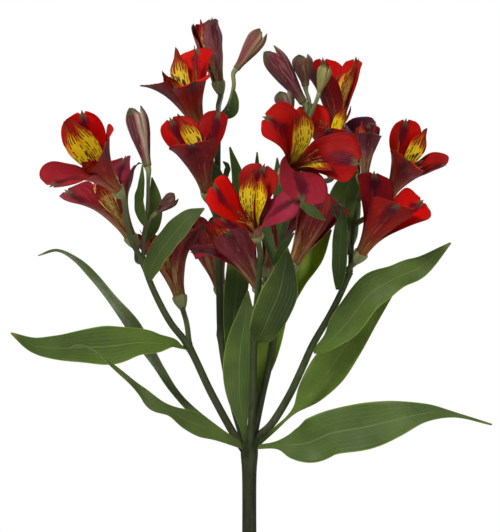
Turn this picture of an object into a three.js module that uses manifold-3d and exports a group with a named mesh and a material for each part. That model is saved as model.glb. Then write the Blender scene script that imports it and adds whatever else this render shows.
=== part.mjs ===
// A potted Peruvian lily: one flowering stem with a whorl of leaves, from which five rays carry
// red and yellow blooms and buds. It stands in soil in a plain clay pot.
// Millimetres, +Z up, +Y away from the viewer. The origin is the middle of the pot's flat base.
import * as THREE from "three";
import { mergeVertices } from "three/addons/utils/BufferGeometryUtils.js";
import Module from "manifold-3d";

const wasm = await Module();
wasm.setup();

// Driving dimensions
const POT_HEIGHT = 125;
const POT_TOP_RADIUS = 70;
const POT_BASE_RADIUS = 48;
const POT_WALL = 6;
const POT_RIM_HEIGHT = 24;
const POT_RIM_STEP = 5;
const POT_SIDES = 24;
const DRAIN_RADIUS = 5;
const DRAIN_COUNT = 3;
const DRAIN_CIRCLE = 26;
const SOIL_BELOW_RIM = 13;
const STEM_RADIUS = 3.9;
const WHORL_RADIUS = 4.6;
const STEM_SUNK = 42;
const WHORL_HEIGHT = 190;
const BLADE = 0.7;
const GAP = 0.3;
const OVARY_LENGTH = 7;
const OVARY_RADIUS = 3.5;

const SOIL_TOP = POT_HEIGHT - SOIL_BELOW_RIM;
const STEM_FOOT = SOIL_TOP - STEM_SUNK;

// Materials, one for each finish
const finish = (color, roughness) => new THREE.MeshStandardMaterial({ color, roughness, metalness: 0 });
const MATERIALS = {
  clay: finish(0xb4694a, 0.9),
  soil: finish(0x3b2a20, 1),
  stem: finish(0x4c5a33, 0.55),
  leaf: finish(0x4d6b2c, 0.5),
  red: finish(0xb01c12, 0.45),
  yellow: finish(0xd9a91c, 0.5),
  bud: finish(0x6e3a44, 0.5),
  greenBud: finish(0x9aa35c, 0.5),
};

const vec = (p) => new THREE.Vector3(p[0], p[1], p[2]);
const radians = THREE.MathUtils.degToRad;

// A repeatable number from -1 to 1 for each seed.
function wobble(seed) {
  const x = Math.sin(seed * 12.9898) * 43758.5453;
  return (x - Math.floor(x)) * 2 - 1;
}

// Value at s, from 0 to 1, along a list of evenly spaced values.
function along(values, s) {
  const place = Math.min(Math.max(s, 0), 1) * (values.length - 1);
  const i = Math.min(Math.floor(place), values.length - 2);
  return values[i] + (values[i + 1] - values[i]) * (place - i);
}

// Solids
function indexed(points, triangles) {
  const geometry = new THREE.BufferGeometry();
  const flat = points.flatMap((p) => [p.x, p.y, p.z]);
  geometry.setAttribute("position", new THREE.Float32BufferAttribute(flat, 3));
  geometry.setIndex(triangles);
  return geometry;
}

function solid(geometry) {
  const bare = geometry.clone();
  bare.deleteAttribute("normal");
  bare.deleteAttribute("uv");
  const merged = mergeVertices(bare, 1e-4);
  return new wasm.Manifold(
    new wasm.Mesh({
      numProp: 3,
      vertProperties: new Float32Array(merged.attributes.position.array),
      triVerts: new Uint32Array(merged.index.array),
    }),
  );
}

function joined(solids) {
  return solids.reduce((all, next) => all.add(next));
}

// The largest body of a solid, without the scraps that a cut leaves.
function largest(shape) {
  const bodies = shape.decompose();
  return bodies.reduce((best, next) => (next.volume() > best.volume() ? next : best));
}

function mesh(name, shape, material) {
  const made = shape.getMesh();
  const geometry = new THREE.BufferGeometry();
  geometry.setAttribute("position", new THREE.Float32BufferAttribute(made.vertProperties, 3));
  geometry.setIndex(new THREE.BufferAttribute(made.triVerts, 1));
  geometry.computeVertexNormals();
  const part = new THREE.Mesh(geometry, material);
  part.name = name;
  return part;
}

// A thin blade of even thickness about a grid of points, rows from root to tip.
function blade(rows, thickness = BLADE) {
  const last = rows.length - 1;
  const columns = rows[0].length;
  const side = columns - 1;
  const points = [];
  for (const face of [1, -1]) {
    rows.forEach((row, i) => {
      const before = rows[Math.max(i - 1, 0)];
      const after = rows[Math.min(i + 1, last)];
      row.forEach((point, j) => {
        const lengthways = after[j].clone().sub(before[j]);
        const across = row[Math.min(j + 1, side)].clone().sub(row[Math.max(j - 1, 0)]);
        const normal = across.cross(lengthways).normalize();
        points.push(point.clone().addScaledVector(normal, (face * thickness) / 2));
      });
    });
  }
  const back = rows.length * columns;
  const at = (i, j) => i * columns + j;
  const triangles = [];
  for (let i = 0; i < last; i += 1) {
    for (let j = 0; j < side; j += 1) {
      const [a, b, c, d] = [at(i, j), at(i, j + 1), at(i + 1, j + 1), at(i + 1, j)];
      triangles.push(a, b, c, a, c, d);
      triangles.push(back + a, back + c, back + b, back + a, back + d, back + c);
    }
    const [p, q, r, s] = [at(i, 0), at(i + 1, 0), at(i, side), at(i + 1, side)];
    triangles.push(p, q, back + q, p, back + q, back + p);
    triangles.push(r, back + r, back + s, r, back + s, s);
  }
  for (let j = 0; j < side; j += 1) {
    const [a, b] = [at(0, j), at(0, j + 1)];
    const [c, d] = [at(last, j), at(last, j + 1)];
    triangles.push(a, back + a, back + b, a, back + b, b);
    triangles.push(c, d, back + d, c, back + d, back + c);
  }
  return solid(indexed(points, triangles));
}

// A round stem through points, with a radius at each point, closed at both ends.
function rod(points, radii, sides = 4) {
  const last = points.length - 1;
  const tangents = points.map((_, i) =>
    points[Math.min(i + 1, last)].clone().sub(points[Math.max(i - 1, 0)]).normalize(),
  );
  const across = new THREE.Vector3(1, 0.2, 0.1);
  const ring = [];
  points.forEach((point, i) => {
    // The same direction is carried along from ring to ring, so that the stem doesn't twist.
    across.addScaledVector(tangents[i], -across.dot(tangents[i])).normalize();
    const other = new THREE.Vector3().crossVectors(tangents[i], across);
    for (let k = 0; k < sides; k += 1) {
      const turn = (2 * Math.PI * k) / sides;
      ring.push(
        point
          .clone()
          .addScaledVector(across, Math.cos(turn) * radii[i])
          .addScaledVector(other, Math.sin(turn) * radii[i]),
      );
    }
  });
  return solid(indexed(ring, skin(last, sides)));
}

// Radii that change evenly from one end of a rod to the other.
function tapered(points, start, end) {
  return points.map((_, i) => start + ((end - start) * i) / (points.length - 1));
}

// Triangles of a closed skin over rings of points, with flat ends.
function skin(steps, sides) {
  const triangles = [];
  for (let i = 0; i < steps; i += 1) {
    for (let k = 0; k < sides; k += 1) {
      const next = (k + 1) % sides;
      const [a, b] = [i * sides + k, i * sides + next];
      triangles.push(a, b, b + sides, a, b + sides, a + sides);
    }
  }
  for (let k = 1; k < sides - 1; k += 1) {
    const top = steps * sides;
    triangles.push(0, k + 1, k);
    triangles.push(top, top + k, top + k + 1);
  }
  return triangles;
}

// Three axes of a bloom or bud: where it aims, its upper side and its right-hand side.
function axes(aim, top) {
  const forward = vec(aim).normalize();
  const upper = vec(top);
  upper.addScaledVector(forward, -upper.dot(forward)).normalize();
  return { forward, upper, side: new THREE.Vector3().crossVectors(upper, forward) };
}

function place(base, frame, sideways, upward, outward) {
  return base
    .clone()
    .addScaledVector(frame.side, sideways)
    .addScaledVector(frame.upper, upward)
    .addScaledVector(frame.forward, outward);
}

// Pot: a tapered wall with a stepped rim, an open top and three drain holes in its flat base.
function pot() {
  const lower = POT_TOP_RADIUS - POT_RIM_STEP;
  const rimFoot = POT_HEIGHT - POT_RIM_HEIGHT;
  const profile = [
    [0, 0],
    [POT_BASE_RADIUS, 0],
    [lower - 1, rimFoot],
    [POT_TOP_RADIUS - 1.5, rimFoot + 1],
    [POT_TOP_RADIUS, POT_HEIGHT - 2],
    [POT_TOP_RADIUS - 2, POT_HEIGHT],
    [POT_TOP_RADIUS - POT_WALL, POT_HEIGHT],
    [lower - POT_WALL - 1, rimFoot - 2],
    [POT_BASE_RADIUS - POT_WALL + 1, POT_WALL],
    [0, POT_WALL],
  ];
  let body = lathe(profile, POT_SIDES);
  for (let i = 0; i < DRAIN_COUNT; i += 1) {
    const turn = (2 * Math.PI * i) / DRAIN_COUNT;
    const hole = new THREE.CylinderGeometry(DRAIN_RADIUS, DRAIN_RADIUS, POT_WALL * 3, 10);
    hole.rotateX(Math.PI / 2);
    hole.translate(DRAIN_CIRCLE * Math.cos(turn), DRAIN_CIRCLE * Math.sin(turn), 0);
    body = body.subtract(solid(hole));
  }
  return body;
}

function lathe(profile, sides) {
  const turned = new THREE.LatheGeometry(
    profile.map(([r, z]) => new THREE.Vector2(r, z)),
    sides,
  );
  turned.rotateX(Math.PI / 2);
  return solid(turned);
}

// Soil: fills the pot to below its rim, with a low mound round the hole that the stem stands in.
function soil() {
  const rimFoot = POT_HEIGHT - POT_RIM_HEIGHT;
  const slack = POT_WALL + GAP;
  const lowerInside = POT_TOP_RADIUS - POT_RIM_STEP - 1 - slack;
  const profile = [
    [0, POT_WALL + GAP],
    [POT_BASE_RADIUS - slack + 0.5, POT_WALL + GAP],
    [lowerInside, rimFoot - 2],
    [lowerInside + 2.5, SOIL_TOP - 1],
    [30, SOIL_TOP],
    [0, SOIL_TOP + 2],
  ];
  const holeRadius = STEM_RADIUS + 2 * GAP;
  const holeDepth = STEM_SUNK + GAP;
  const hole = new THREE.CylinderGeometry(holeRadius, holeRadius, holeDepth + 10, 10);
  hole.rotateX(Math.PI / 2);
  hole.translate(0, 0, STEM_FOOT - GAP + (holeDepth + 10) / 2);
  return lathe(profile, POT_SIDES).subtract(solid(hole));
}

// Everything below grows from the whorl, and its heights are measured from there.

// Rays: the five branches of the umbel, from the whorl to their last fork.
const RAYS = {
  left: [[0, 0, -3], [-4.4, -1, 2], [-19.3, -5, 28.3], [-31.7, -9, 53.8], [-41, -13, 66],
    [-50, -17, 83.5], [-55, -19, 97]],
  back: [[0, 1, -3], [-1.5, 3, 1.5], [-7.3, 8, 20], [-12, 13, 41], [-14.6, 17, 59], [-15.6, 20, 93],
    [-17, 20, 116.5], [-16.5, 18, 137], [-16.4, 18, 155.5], [-16, 20, 172]],
  front: [[0, -1, -3], [0.5, -3, 3], [2, -8, 25.5], [2.6, -14, 58], [4.2, -20, 77.5], [5.7, -27, 97]],
  middle: [[1, 0, -3], [2, 2, 4], [6.8, 6, 28], [11, 8, 46], [14, 6, 67], [15.6, 0, 90.5],
    [16.6, -8, 106], [19.8, -18, 120]],
  right: [[1.5, 0, -3], [3.6, -1, 5], [11, -2, 12], [21, -4, 28], [27.6, -5, 42], [33, -6, 54],
    [42, -7, 69.6], [48.4, -8, 82.5], [52.4, -8, 92]],
};

// Twigs: thinner shoots that carry more than one flower.
const TWIGS = {
  top: [[16.6, -8, 106], [22, 2, 130], [27, 6, 150], [29, 8, 165]],
  far: [[52.4, -8, 92], [53, -4, 101], [54.5, 0, 116.5], [57, 0, 130]],
};

// Blooms: where each stands, the way it aims, its upper side, its size and how wide it has opened.
// The stalk runs from a fork to the ovary. The bends turn single tepals further out or in, and the
// turns swing them round, in degrees. Broad holds each outer tepal's breadth beside the usual one.
const BLOOMS = [
  { at: [-68.7, -31, 135], aim: [-0.48, -0.67, 0.56], top: [-0.25, 0.72, 0.65], size: 1.06, open: 0.6,
    bends: [-3, 21, -2], turns: [-26, 3, -13, -17, 21], broad: [1.06, 1.2, 1.19],
    stalk: [[-55, -19, 97], [-61.4, -22, 110]] },
  { at: [-62.2, 7, 111], aim: [-0.47, -0.17, 0.87], top: [0.07, 0.97, 0.22], size: 0.95, open: 0.91,
    bends: [-19, -14, 3], turns: [-45, -60, 11, -21, 13], broad: [1.06, 1.35, 0.86],
    stalk: [[-55, -19, 97], [-58, -6, 98]] },
  { at: [-36.5, 15.9, 79.9], aim: [-0.25, 0.13, 0.96], top: [-0.96, -0.15, -0.23], size: 0.89,
    open: 0.63, bends: [-10, 22, -10], turns: [16, 37, -20, 18, 2],
    stalk: [[-31, -9, 54], [-32.3, 0, 64.5]] },
  { at: [-25.6, 25.1, 166.4], aim: [-0.33, -0.23, 0.92], top: [0.56, 0.73, 0.38], size: 0.99,
    open: 0.55, bends: [8, 27, 55], turns: [2, 60, -9, 1, -27], broad: [1.08, 0.97, 0.92],
    stalk: [[-16.5, 18, 137], [-18.5, 24, 146]] },
  { at: [-22, -1.1, 134.3], aim: [-0.21, -0.43, 0.88], top: [-0.73, 0.66, 0.15], size: 0.95, open: 0.59,
    bends: [-2, 0, 5], turns: [-15, 14, 24, 30, 2], broad: [0.97, 1.15, 1.05],
    stalk: [[-17, 20, 116.5], [-17.5, 11, 121]] },
  { at: [-16.4, 42.2, 192.2], aim: [-0.22, 0.03, 0.98], top: [0.41, -0.9, 0.12], size: 0.74, open: 0.08,
    bends: [-5, -5, 0], turns: [11, 15, -36, 3, 6], stalk: [[-16, 20, 172], [-16, 34, 179]] },
  { at: [-15.5, 36.2, 84.9], aim: [-0.23, 0.32, 0.92], top: [0.15, 0.94, -0.29], size: 0.89, open: 0.57,
    bends: [0, -2, 1], turns: [22, 45, -15, 10, -10], stalk: [[-14.6, 17, 59], [-15, 27, 72]] },
  { at: [3.7, -34.3, 112], aim: [-0.16, -0.83, 0.54], top: [0.25, 0.49, 0.83], size: 0.9, open: 0.87,
    bends: [-3, -21, 37], turns: [-10, -42, 50, -22, -1], stalk: [[5.7, -27, 97], [5.7, -30, 101]] },
  { at: [4.5, -6.1, 85.3], aim: [-0.43, -0.32, 0.84], top: [-0.83, 0.5, -0.24], size: 0.92, open: 0.57,
    bends: [26, -24, 0], turns: [36, -5, 60, -10, 9], stalk: [[2.6, -14, 58], [2.5, -10, 72]] },
  { at: [9.8, 39.6, 95.7], aim: [0.22, -0.31, 0.93], top: [0.76, 0.65, 0.04], size: 0.82, open: 0.42,
    bends: [10, 2, -14], turns: [14, -19, -9, -1, -3], stalk: [[14, 6, 67], [12, 22, 80]] },
  { at: [18.8, -25.3, 143.4], aim: [0.43, -0.79, 0.43], top: [-0.52, 0.17, 0.84], size: 1.02,
    open: 0.88, bends: [28, 46, 5], turns: [38, 24, -24, 5, 23], broad: [1.12, 1.21, 1.26],
    stalk: [[19.8, -18, 120], [20.5, -23, 131]] },
  { at: [44.9, 36.8, 163], aim: [0.05, -0.08, 1], top: [0.96, 0.29, -0.03], size: 0.95, open: 0.5,
    bends: [-25, -15, 18], turns: [25, -6, -58, -24, -13], broad: [0.91, 1, 1.07],
    stalk: [[27, 6, 150], [34, 24, 156]] },
  { at: [42.9, 21.2, 147.1], aim: [-0.04, -0.5, 0.86], top: [0.93, 0.29, 0.21], size: 0.81, open: 0.7,
    bends: [49, 16, -16], turns: [-18, -6, 5, -18, 6], broad: [0.95, 1.06, 1.08],
    stalk: [[22, 2, 130], [36, 9, 138]] },
  { at: [59.4, -12.3, 143], aim: [0, -0.01, 1], top: [0.64, 0.77, 0.01], size: 0.61, open: 0.33,
    bends: [-2, -5, 50], turns: [24, -5, -13, 3, -5], stalk: [[57, 0, 130], [59, -8, 135]] },
  { at: [74.2, 13.6, 133.7], aim: [0.39, -0.64, 0.66], top: [-0.65, 0.32, 0.69], size: 0.91, open: 0.58,
    bends: [2, -14, -7], turns: [-20, -10, -52, 16, -30], broad: [0.96, 1.02, 0.97],
    stalk: [[54.5, 0, 116.5], [64, 8, 122]] },
  { at: [58.7, -15.6, 102.6], aim: [0.45, -0.46, 0.77], top: [0.89, 0.3, -0.34], size: 0.96, open: 0.6,
    bends: [30, 32, -26], turns: [35, -8, 27, -60, 7], broad: [1.09, 1.07, 1.06],
    stalk: [[51, -8, 92], [53, -9.5, 95]] },
  { at: [23.4, 15, 96.6], aim: [0.44, 0.1, 0.89], top: [0.72, 0.56, -0.42], size: 0.93, open: 0.31,
    bends: [-5, 23, -12], turns: [16, 15, -21, 10, 10], stalk: [[14, 6, 67], [20, 12, 84]] },
];

// Buds: where each starts, the way it points, its length and its width.
const BUDS = [
  { at: [-52.8, -12, 147.2], aim: [-0.23, 0, 1], long: 31, wide: 11.5, finish: "bud",
    stalk: [[-55, -19, 97], [-54.2, -16, 111.3], [-52.6, -14, 124.3], [-52.2, -12, 140]] },
  { at: [-47.8, -18, 123], aim: [0.75, -0.1, 0.66], long: 13, wide: 7, finish: "bud",
    stalk: [[-54.2, -16, 111.3], [-51, -16, 120]] },
  { at: [-6.5, 30, 198.3], aim: [0.56, 0.05, 0.83], long: 24, wide: 9.4, finish: "bud",
    stalk: [[-16, 20, 172], [-11, 22.5, 178.5], [-8, 27, 189]] },
  { at: [28.2, 10, 180.4], aim: [-0.56, 0, 0.83], long: 33, wide: 12, finish: "bud",
    stalk: [[29, 8, 165], [29.4, 9, 173]] },
  { at: [29.4, 15, 189.3], aim: [-0.14, -0.1, 1], long: 16, wide: 10.5, finish: "bud",
    stalk: [[29, 8, 165], [31.5, 12, 180]] },
  { at: [36.4, -12, 185.6], aim: [0.25, -0.1, 0.97], long: 14, wide: 7, finish: "greenBud",
    stalk: [[29, 8, 165], [31, -4, 171]] },
  { at: [21.5, -2, 171.5], aim: [-0.3, -0.1, 0.95], long: 15, wide: 10, finish: "bud",
    stalk: [[22, 2, 130], [20.5, 2, 150], [21.5, 0, 164]] },
  { at: [49, -5, 116], aim: [-0.35, -0.1, 0.9], long: 12, wide: 6, finish: "bud",
    stalk: [[52.5, -4, 101], [51, -5, 109]] },
];

// Leaves: the midrib's points with half the blade's width at each, and the way the blade faces at
// its root, middle and tip.
const LEAVES = {
  leaf_right_low: { facing: [[0, -0.9, 0.4], [0.1, -1, 0.25], [0.1, -0.9, 0.4]],
    midrib: [[3.6, -1, 0.8, 1.2], [15.5, -7, 2, 2.6], [23.5, -11, 2.2, 8.2], [31.5, -15, 3.6, 11.4],
      [43, -20, 8.4, 12.1], [60, -26, 11.6, 12.4], [77, -32, 15.8, 9.8], [92, -37, 19, 4.8],
      [106, -40, 18.2, 1.6], [125.2, -43, 13.2, 0.5]] },
  leaf_right_high: { facing: [[-0.4, -0.9, 0.2], [-0.3, -0.9, 0.3], [-0.2, -0.9, 0.3]],
    midrib: [[33.6, -8, 50.4, 1.2], [41, -12, 55, 4.6], [50.4, -15, 65, 8.8], [64, -17, 81.6, 9.5],
      [77.5, -17, 89.4, 7.3], [89.4, -16, 94.8, 5.7], [104.6, -14, 107, 0.5]] },
  leaf_right_mid: { facing: [[-0.3, -0.9, 0.2], [-0.2, -0.9, 0.2], [-0.2, -0.9, 0.2]],
    midrib: [[4, 1.5, 1.6, 1.2], [13.5, 5, 10, 1.1], [23.8, 9, 19.6, 1.6], [31.4, 13, 27.8, 7.1],
      [40.4, 17, 39.1, 9.9], [49.4, 21, 51.7, 9.7], [57.6, 25, 63.4, 8], [67.6, 28, 74.5, 4.6],
      [77, 30, 83.7, 0.5]] },
  leaf_left_high: { facing: [[0, -0.5, 0.8], [0, -0.9, 0.4], [0, -0.9, 0.4]],
    midrib: [[-31.3, -9, 51.5, 1.3], [-35.4, -11, 53, 1.5], [-40, -12, 55, 3.6], [-47.8, -14, 54.8, 6],
      [-57.7, -16, 55.2, 8.2], [-71.2, -18, 53.4, 10.8], [-85.3, -20, 52.8, 9.6],
      [-99.8, -22, 52.4, 6.8], [-111.3, -23, 53.8, 4.4], [-123.2, -24, 60.3, 0.5]] },
  leaf_left_back: { facing: [[0.2, -0.9, 0.2], [0.7, -0.6, 0.5], [0.5, -0.4, 0.8]],
    midrib: [[-3, 2, 1, 1.3], [-18.2, 6, 10.4, 2.3], [-30.9, 11, 20.6, 2.5], [-39.9, 16, 30.7, 2.4],
      [-46.6, 21, 40.5, 3.3], [-54.1, 26, 51.8, 5.8], [-62.1, 31, 64.4, 6.2], [-72, 36, 77, 5.2],
      [-81.2, 40, 88.5, 4.2], [-90.7, 43, 97.8, 3], [-100.8, 45, 103, 1.9], [-110.7, 46, 100.4, 0.4]] },
  leaf_left_low: { facing: [[0.1, -0.9, 0.3], [0.1, -0.9, 0.4], [0.3, 0.4, 0.9]],
    midrib: [[-3, -2, 1, 1.4], [-9, -6, 4, 2.4], [-17.5, -11, 8, 3.8], [-25.5, -16, 12, 6],
      [-33.5, -21, 15.7, 5.4], [-41, -25, 20, 3.2], [-49.5, -30, 23.8, 3.8], [-55.6, -33, 29.8, 3.2],
      [-62.6, -36, 36.6, 2.5], [-72.3, -40, 44.7, 1.8], [-80, -43, 50.7, 2.2], [-86.8, -45, 53.6, 2.6],
      [-92.6, -46, 52.5, 0.5]] },
  leaf_front_mid: { facing: [[0, -1, 0], [-0.1, -1, 0], [-0.2, -1, 0.1]],
    midrib: [[-0.5, -1, 1, 1.5], [-3, -3, 12.5, 2.2], [-4.7, -3, 25.5, 6.2], [-5.2, -3, 38.5, 8.3],
      [-4.2, -4, 54, 7.6], [-1.8, -4, 68, 5], [-0.6, -2, 82, 0.5]] },
  leaf_back_mid: { facing: [[0, -1, 0], [-0.5, -1, 0], [-0.3, -1, 0]],
    midrib: [[-9.8, 9, 41, 1.6], [-7.8, 8, 70, 5.6], [-5, 9, 98, 6.5], [-5, 10, 120, 5.4],
      [-5, 12, 138, 4], [-10, 14, 157, 0.5]] },
  leaf_front_cup: { facing: [[0.3, -1, 0], [0.3, -1, 0.1], [0.3, -1, 0.1]],
    midrib: [[2.6, -14.4, 56, 1.5], [6.6, -20, 60.5, 7], [10.8, -25, 70, 9.4], [15.6, -28, 81.5, 9.6],
      [18.2, -30, 93, 6], [19.8, -32, 104.5, 0.5]] },
  leaf_back_right: { facing: [[0, -1, 0], [-0.3, -1, 0.1], [-0.4, -1, 0.1]],
    midrib: [[2, 3, 2, 1.3], [3, 12, 22, 1.8], [4.2, 15, 33, 3.4], [6.2, 17, 43, 7],
      [9.6, 20, 56.7, 8.2], [14.2, 24, 71, 7.6], [23.2, 29, 88, 7.6], [34, 30, 101, 6.2],
      [43, 28, 114, 0.5]] },
  leaf_left_top: { facing: [[-0.3, -0.9, 0.2], [-0.4, -0.9, 0.3], [-0.4, -0.9, 0.3]],
    midrib: [[-51.5, -20, 87.4, 1.1], [-50.4, -22, 94, 4.7], [-45.2, -25, 103.5, 6.2],
      [-38.3, -27, 112.1, 6.5], [-30.9, -28, 119.9, 4.9], [-23.1, -27, 124.8, 0.5]] },
  leaf_right_top: { facing: [[0, -1, 0], [0.1, -1, 0.1], [0.2, -1, 0.1]],
    midrib: [[52.9, -2.5, 104.5, 1.2], [52.8, 16, 111, 4], [50.4, 34, 121, 8], [50, 39, 130, 8.5],
      [53.6, 40, 141, 5], [57.2, 40, 147.7, 0.5]] },
  leaf_right_bract: { facing: [[-0.2, -1, 0], [-0.2, -1, 0], [-0.2, -1, 0]],
    midrib: [[46.3, -10, 82.7, 1.3], [46.7, -13, 91, 3.4], [47.2, -15, 103.5, 4.1],
      [47.8, -15, 115, 3.5], [49.4, -14, 124.3, 0.4]] },
};

// Bracts: the small leaves at the forks, which grow in one with the stem.
const BRACTS = [
  { facing: [-0.5, -0.9, 0], midrib: [[-53, -15, 115, 1], [-55.8, -16, 121.7, 2.8],
    [-56.8, -17, 129.5, 2.8], [-55.7, -18, 137, 2], [-55.2, -18, 147.6, 0.4]] },
  { facing: [0.2, -1, 0], midrib: [[-54, -15, 108, 1], [-50, -11, 115, 3.2], [-48.6, -10, 123, 3.6],
    [-48.8, -9, 131, 3], [-50.4, -8, 141, 0.4]] },
  { facing: [0.2, -1, 0], midrib: [[-16, 20, 172, 0.9], [-8.8, 22, 175.3, 2.5], [-7.6, 22, 181.5, 2.2],
    [-8, 22, 187.7, 0.4]] },
  { facing: [-0.4, -1, 0], midrib: [[-16.6, 19, 121.7, 1], [-15.5, 14, 134.7, 4.5], [-18, 12, 144, 4],
    [-21.8, 8, 151, 0.5]] },
  { facing: [0.6, -1, 0], midrib: [[-16.5, 18, 137, 0.9], [-12.5, 15, 142, 1.8], [-11.4, 14, 147, 1.5],
    [-13.5, 13, 149.5, 0.4]] },
  { facing: [0, -1, 0], midrib: [[15.6, 0, 90.5, 1], [9, 8, 112, 3], [4.5, 12, 132, 3],
    [4.2, 12, 154.4, 0.4]] },
  { facing: [-0.3, -1, 0], midrib: [[16.6, -8, 106, 1], [15.6, -6, 130, 3], [15.1, -6, 141, 2.5],
    [14.6, -6, 151.3, 0.4]] },
  { facing: [-0.4, -0.8, 0.5], midrib: [[19.8, -18, 120, 1], [26.5, -22, 128, 2.5],
    [32.8, -25, 123.2, 2.5], [39.5, -28, 118.6, 0.4]] },
  { facing: [0, -1, 0.3], midrib: [[15.6, 0, 90.5, 1], [14.5, -12, 99, 1.6], [18.7, -15, 106, 2],
    [23.4, -16, 112.3, 0.4]] },
];

function midribCurve(midrib) {
  return new THREE.CatmullRomCurve3(midrib.map(vec), false, "centripetal");
}

// A leaf's blade: three points across each row, with the two halves raised a little from the rib.
function leafBlade({ midrib, facing }, fold = 0.16) {
  const curve = midribCurve(midrib);
  const last = midrib.length - 1;
  const rows = midrib.map((knot, i) => {
    const s = i / last;
    const centre = curve.getPoint(s);
    const tangent = curve.getTangent(s);
    const look = new THREE.Vector3(
      along(facing.map((f) => f[0]), s),
      along(facing.map((f) => f[1]), s),
      along(facing.map((f) => f[2]), s),
    );
    const across = new THREE.Vector3().crossVectors(tangent, look).normalize();
    const raised = new THREE.Vector3().crossVectors(across, tangent).multiplyScalar(fold * knot[3]);
    return [-1, 0, 1].map((k) =>
      centre.clone().addScaledVector(across, k * knot[3]).addScaledVector(raised, Math.abs(k)),
    );
  });
  return blade(rows);
}

// Tepals: stations from claw to tip with the half width at each, and the lean away from the
// bloom's axis, in degrees, when shut and when open.
const OUTER = { length: 44, claw: 3, columns: [-1, 0, 1], stations: [0, 0.26, 0.52, 0.74, 0.91, 1],
  widths: [3.5, 5.6, 9.4, 12, 10, 3.4], shut: [6, 14, 10, 4, -4, -10], open: [6, 16, 28, 44, 58, 70] };
const UPPER = { length: 45, claw: 1.7, columns: [-1, 1], stations: [0, 0.28, 0.55, 0.76, 0.87, 1],
  widths: [1.1, 1.8, 4.2, 4.8, 2.1, 0.4], shut: [2, 10, 8, 2, -4, -8], open: [2, 12, 22, 30, 34, 40] };
const LOWER = { length: 40, claw: 1.7, columns: [-1, 1], stations: [0, 0.28, 0.57, 0.8, 0.9, 1],
  widths: [1.1, 1.6, 3.5, 4.3, 2, 0.4], shut: [2, 10, 8, 2, -4, -8], open: [2, 11, 21, 31, 40, 46] };
// Each tepal's shape and its angle round the axis, in degrees. The upper inner two lie side by
// side, one on each side of that angle.
const TEPALS = [
  { shape: OUTER, angle: 90, beside: 0 },
  { shape: OUTER, angle: 208, beside: 0 },
  { shape: OUTER, angle: 332, beside: 0 },
  { shape: UPPER, angle: 90, beside: 1 },
  { shape: UPPER, angle: 90, beside: -1 },
  { shape: LOWER, angle: 270, beside: 0 },
];
const BESIDE_LIMIT = radians(60);
const WRAP_LIMIT = radians(57);
const CURVE_STEPS = 28;

// A tepal's middle line in its own upright plane: distance from the axis and height for each step.
function tepalLine(shape, open, size, bend) {
  const line = [{ radius: shape.claw, height: GAP, lean: shape.shut[0] }];
  const step = (shape.length * size) / CURVE_STEPS;
  for (let i = 0; i < CURVE_STEPS; i += 1) {
    const s = (i + 0.5) / CURVE_STEPS;
    const lean = along(shape.shut, s) * (1 - open) + along(shape.open, s) * open + bend * s * s;
    const { radius, height } = line[i];
    line.push({
      radius: Math.max(radius + step * Math.sin(radians(lean)), 0.5),
      height: height + step * Math.cos(radians(lean)),
      lean,
    });
  }
  return line;
}

function tepal(bloom, frame, index, seed) {
  const { shape, angle, beside } = TEPALS[index];
  const bend = ((bloom.bends || [])[index] || 0) + 5 * wobble(seed);
  const swing = ((bloom.turns || [])[index] || 0) + 4 * wobble(seed + 0.5);
  const breadth = bloom.size * ((bloom.broad || [])[index] || 1);
  const line = tepalLine(shape, bloom.open, bloom.size, bend);
  let widest = 0;
  const rows = shape.stations.map((s, i) => {
    const width = shape.widths[i];
    const position = s * CURVE_STEPS;
    const low = Math.min(Math.floor(position), CURVE_STEPS - 1);
    const share = position - low;
    const radius = line[low].radius + (line[low + 1].radius - line[low].radius) * share;
    const height = line[low].height + (line[low + 1].height - line[low].height) * share;
    const lean = radians(line[low + 1].lean);
    const roll = Math.max(radius * (1.02 + 1.1 * s * s * bloom.open), 2.2);
    const half = i === 0 ? width : Math.min(width * breadth, roll * WRAP_LIMIT);
    widest = Math.max(widest, half);
    const off = Math.min(Math.asin(Math.min(1, (widest + 2 * GAP) / radius)), BESIDE_LIMIT);
    const turn = radians(angle + swing * s) + beside * off;
    return shape.columns.map((k) => {
      const round = (k * half) / roll;
      const sideways = roll * Math.sin(round);
      const inward = roll * (1 - Math.cos(round));
      const out = radius - inward * Math.cos(lean);
      const up = height + inward * Math.sin(lean);
      return place(
        vec(bloom.at),
        frame,
        Math.cos(turn) * out - Math.sin(turn) * sideways,
        Math.sin(turn) * out + Math.cos(turn) * sideways,
        up,
      );
    });
  });
  return blade(rows.map((row) => row.reverse()));
}

function outerTepals(bloom, index) {
  const frame = axes(bloom.aim, bloom.top);
  return joined([0, 1, 2].map((k) => tepal(bloom, frame, k, index * 10 + k)));
}

// The inner tepals, on a small core, with the bundle of stamens that leans down and out.
function innerTepals(bloom, index) {
  const frame = axes(bloom.aim, bloom.top);
  const base = vec(bloom.at);
  const reach = 27 * bloom.size;
  const droop = reach * 0.22 * bloom.open;
  const stamens = [
    place(base, frame, 0, 0, GAP),
    place(base, frame, 0, 0, 2.2),
    place(base, frame, 0, -droop * 0.4, reach * 0.6),
    place(base, frame, 0, -droop, reach),
  ];
  const tepals = [3, 4, 5].map((k) => tepal(bloom, frame, k, index * 10 + k));
  return joined([rod(stamens, [2.2, 2, 0.7, 1.3]), ...tepals]);
}

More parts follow.
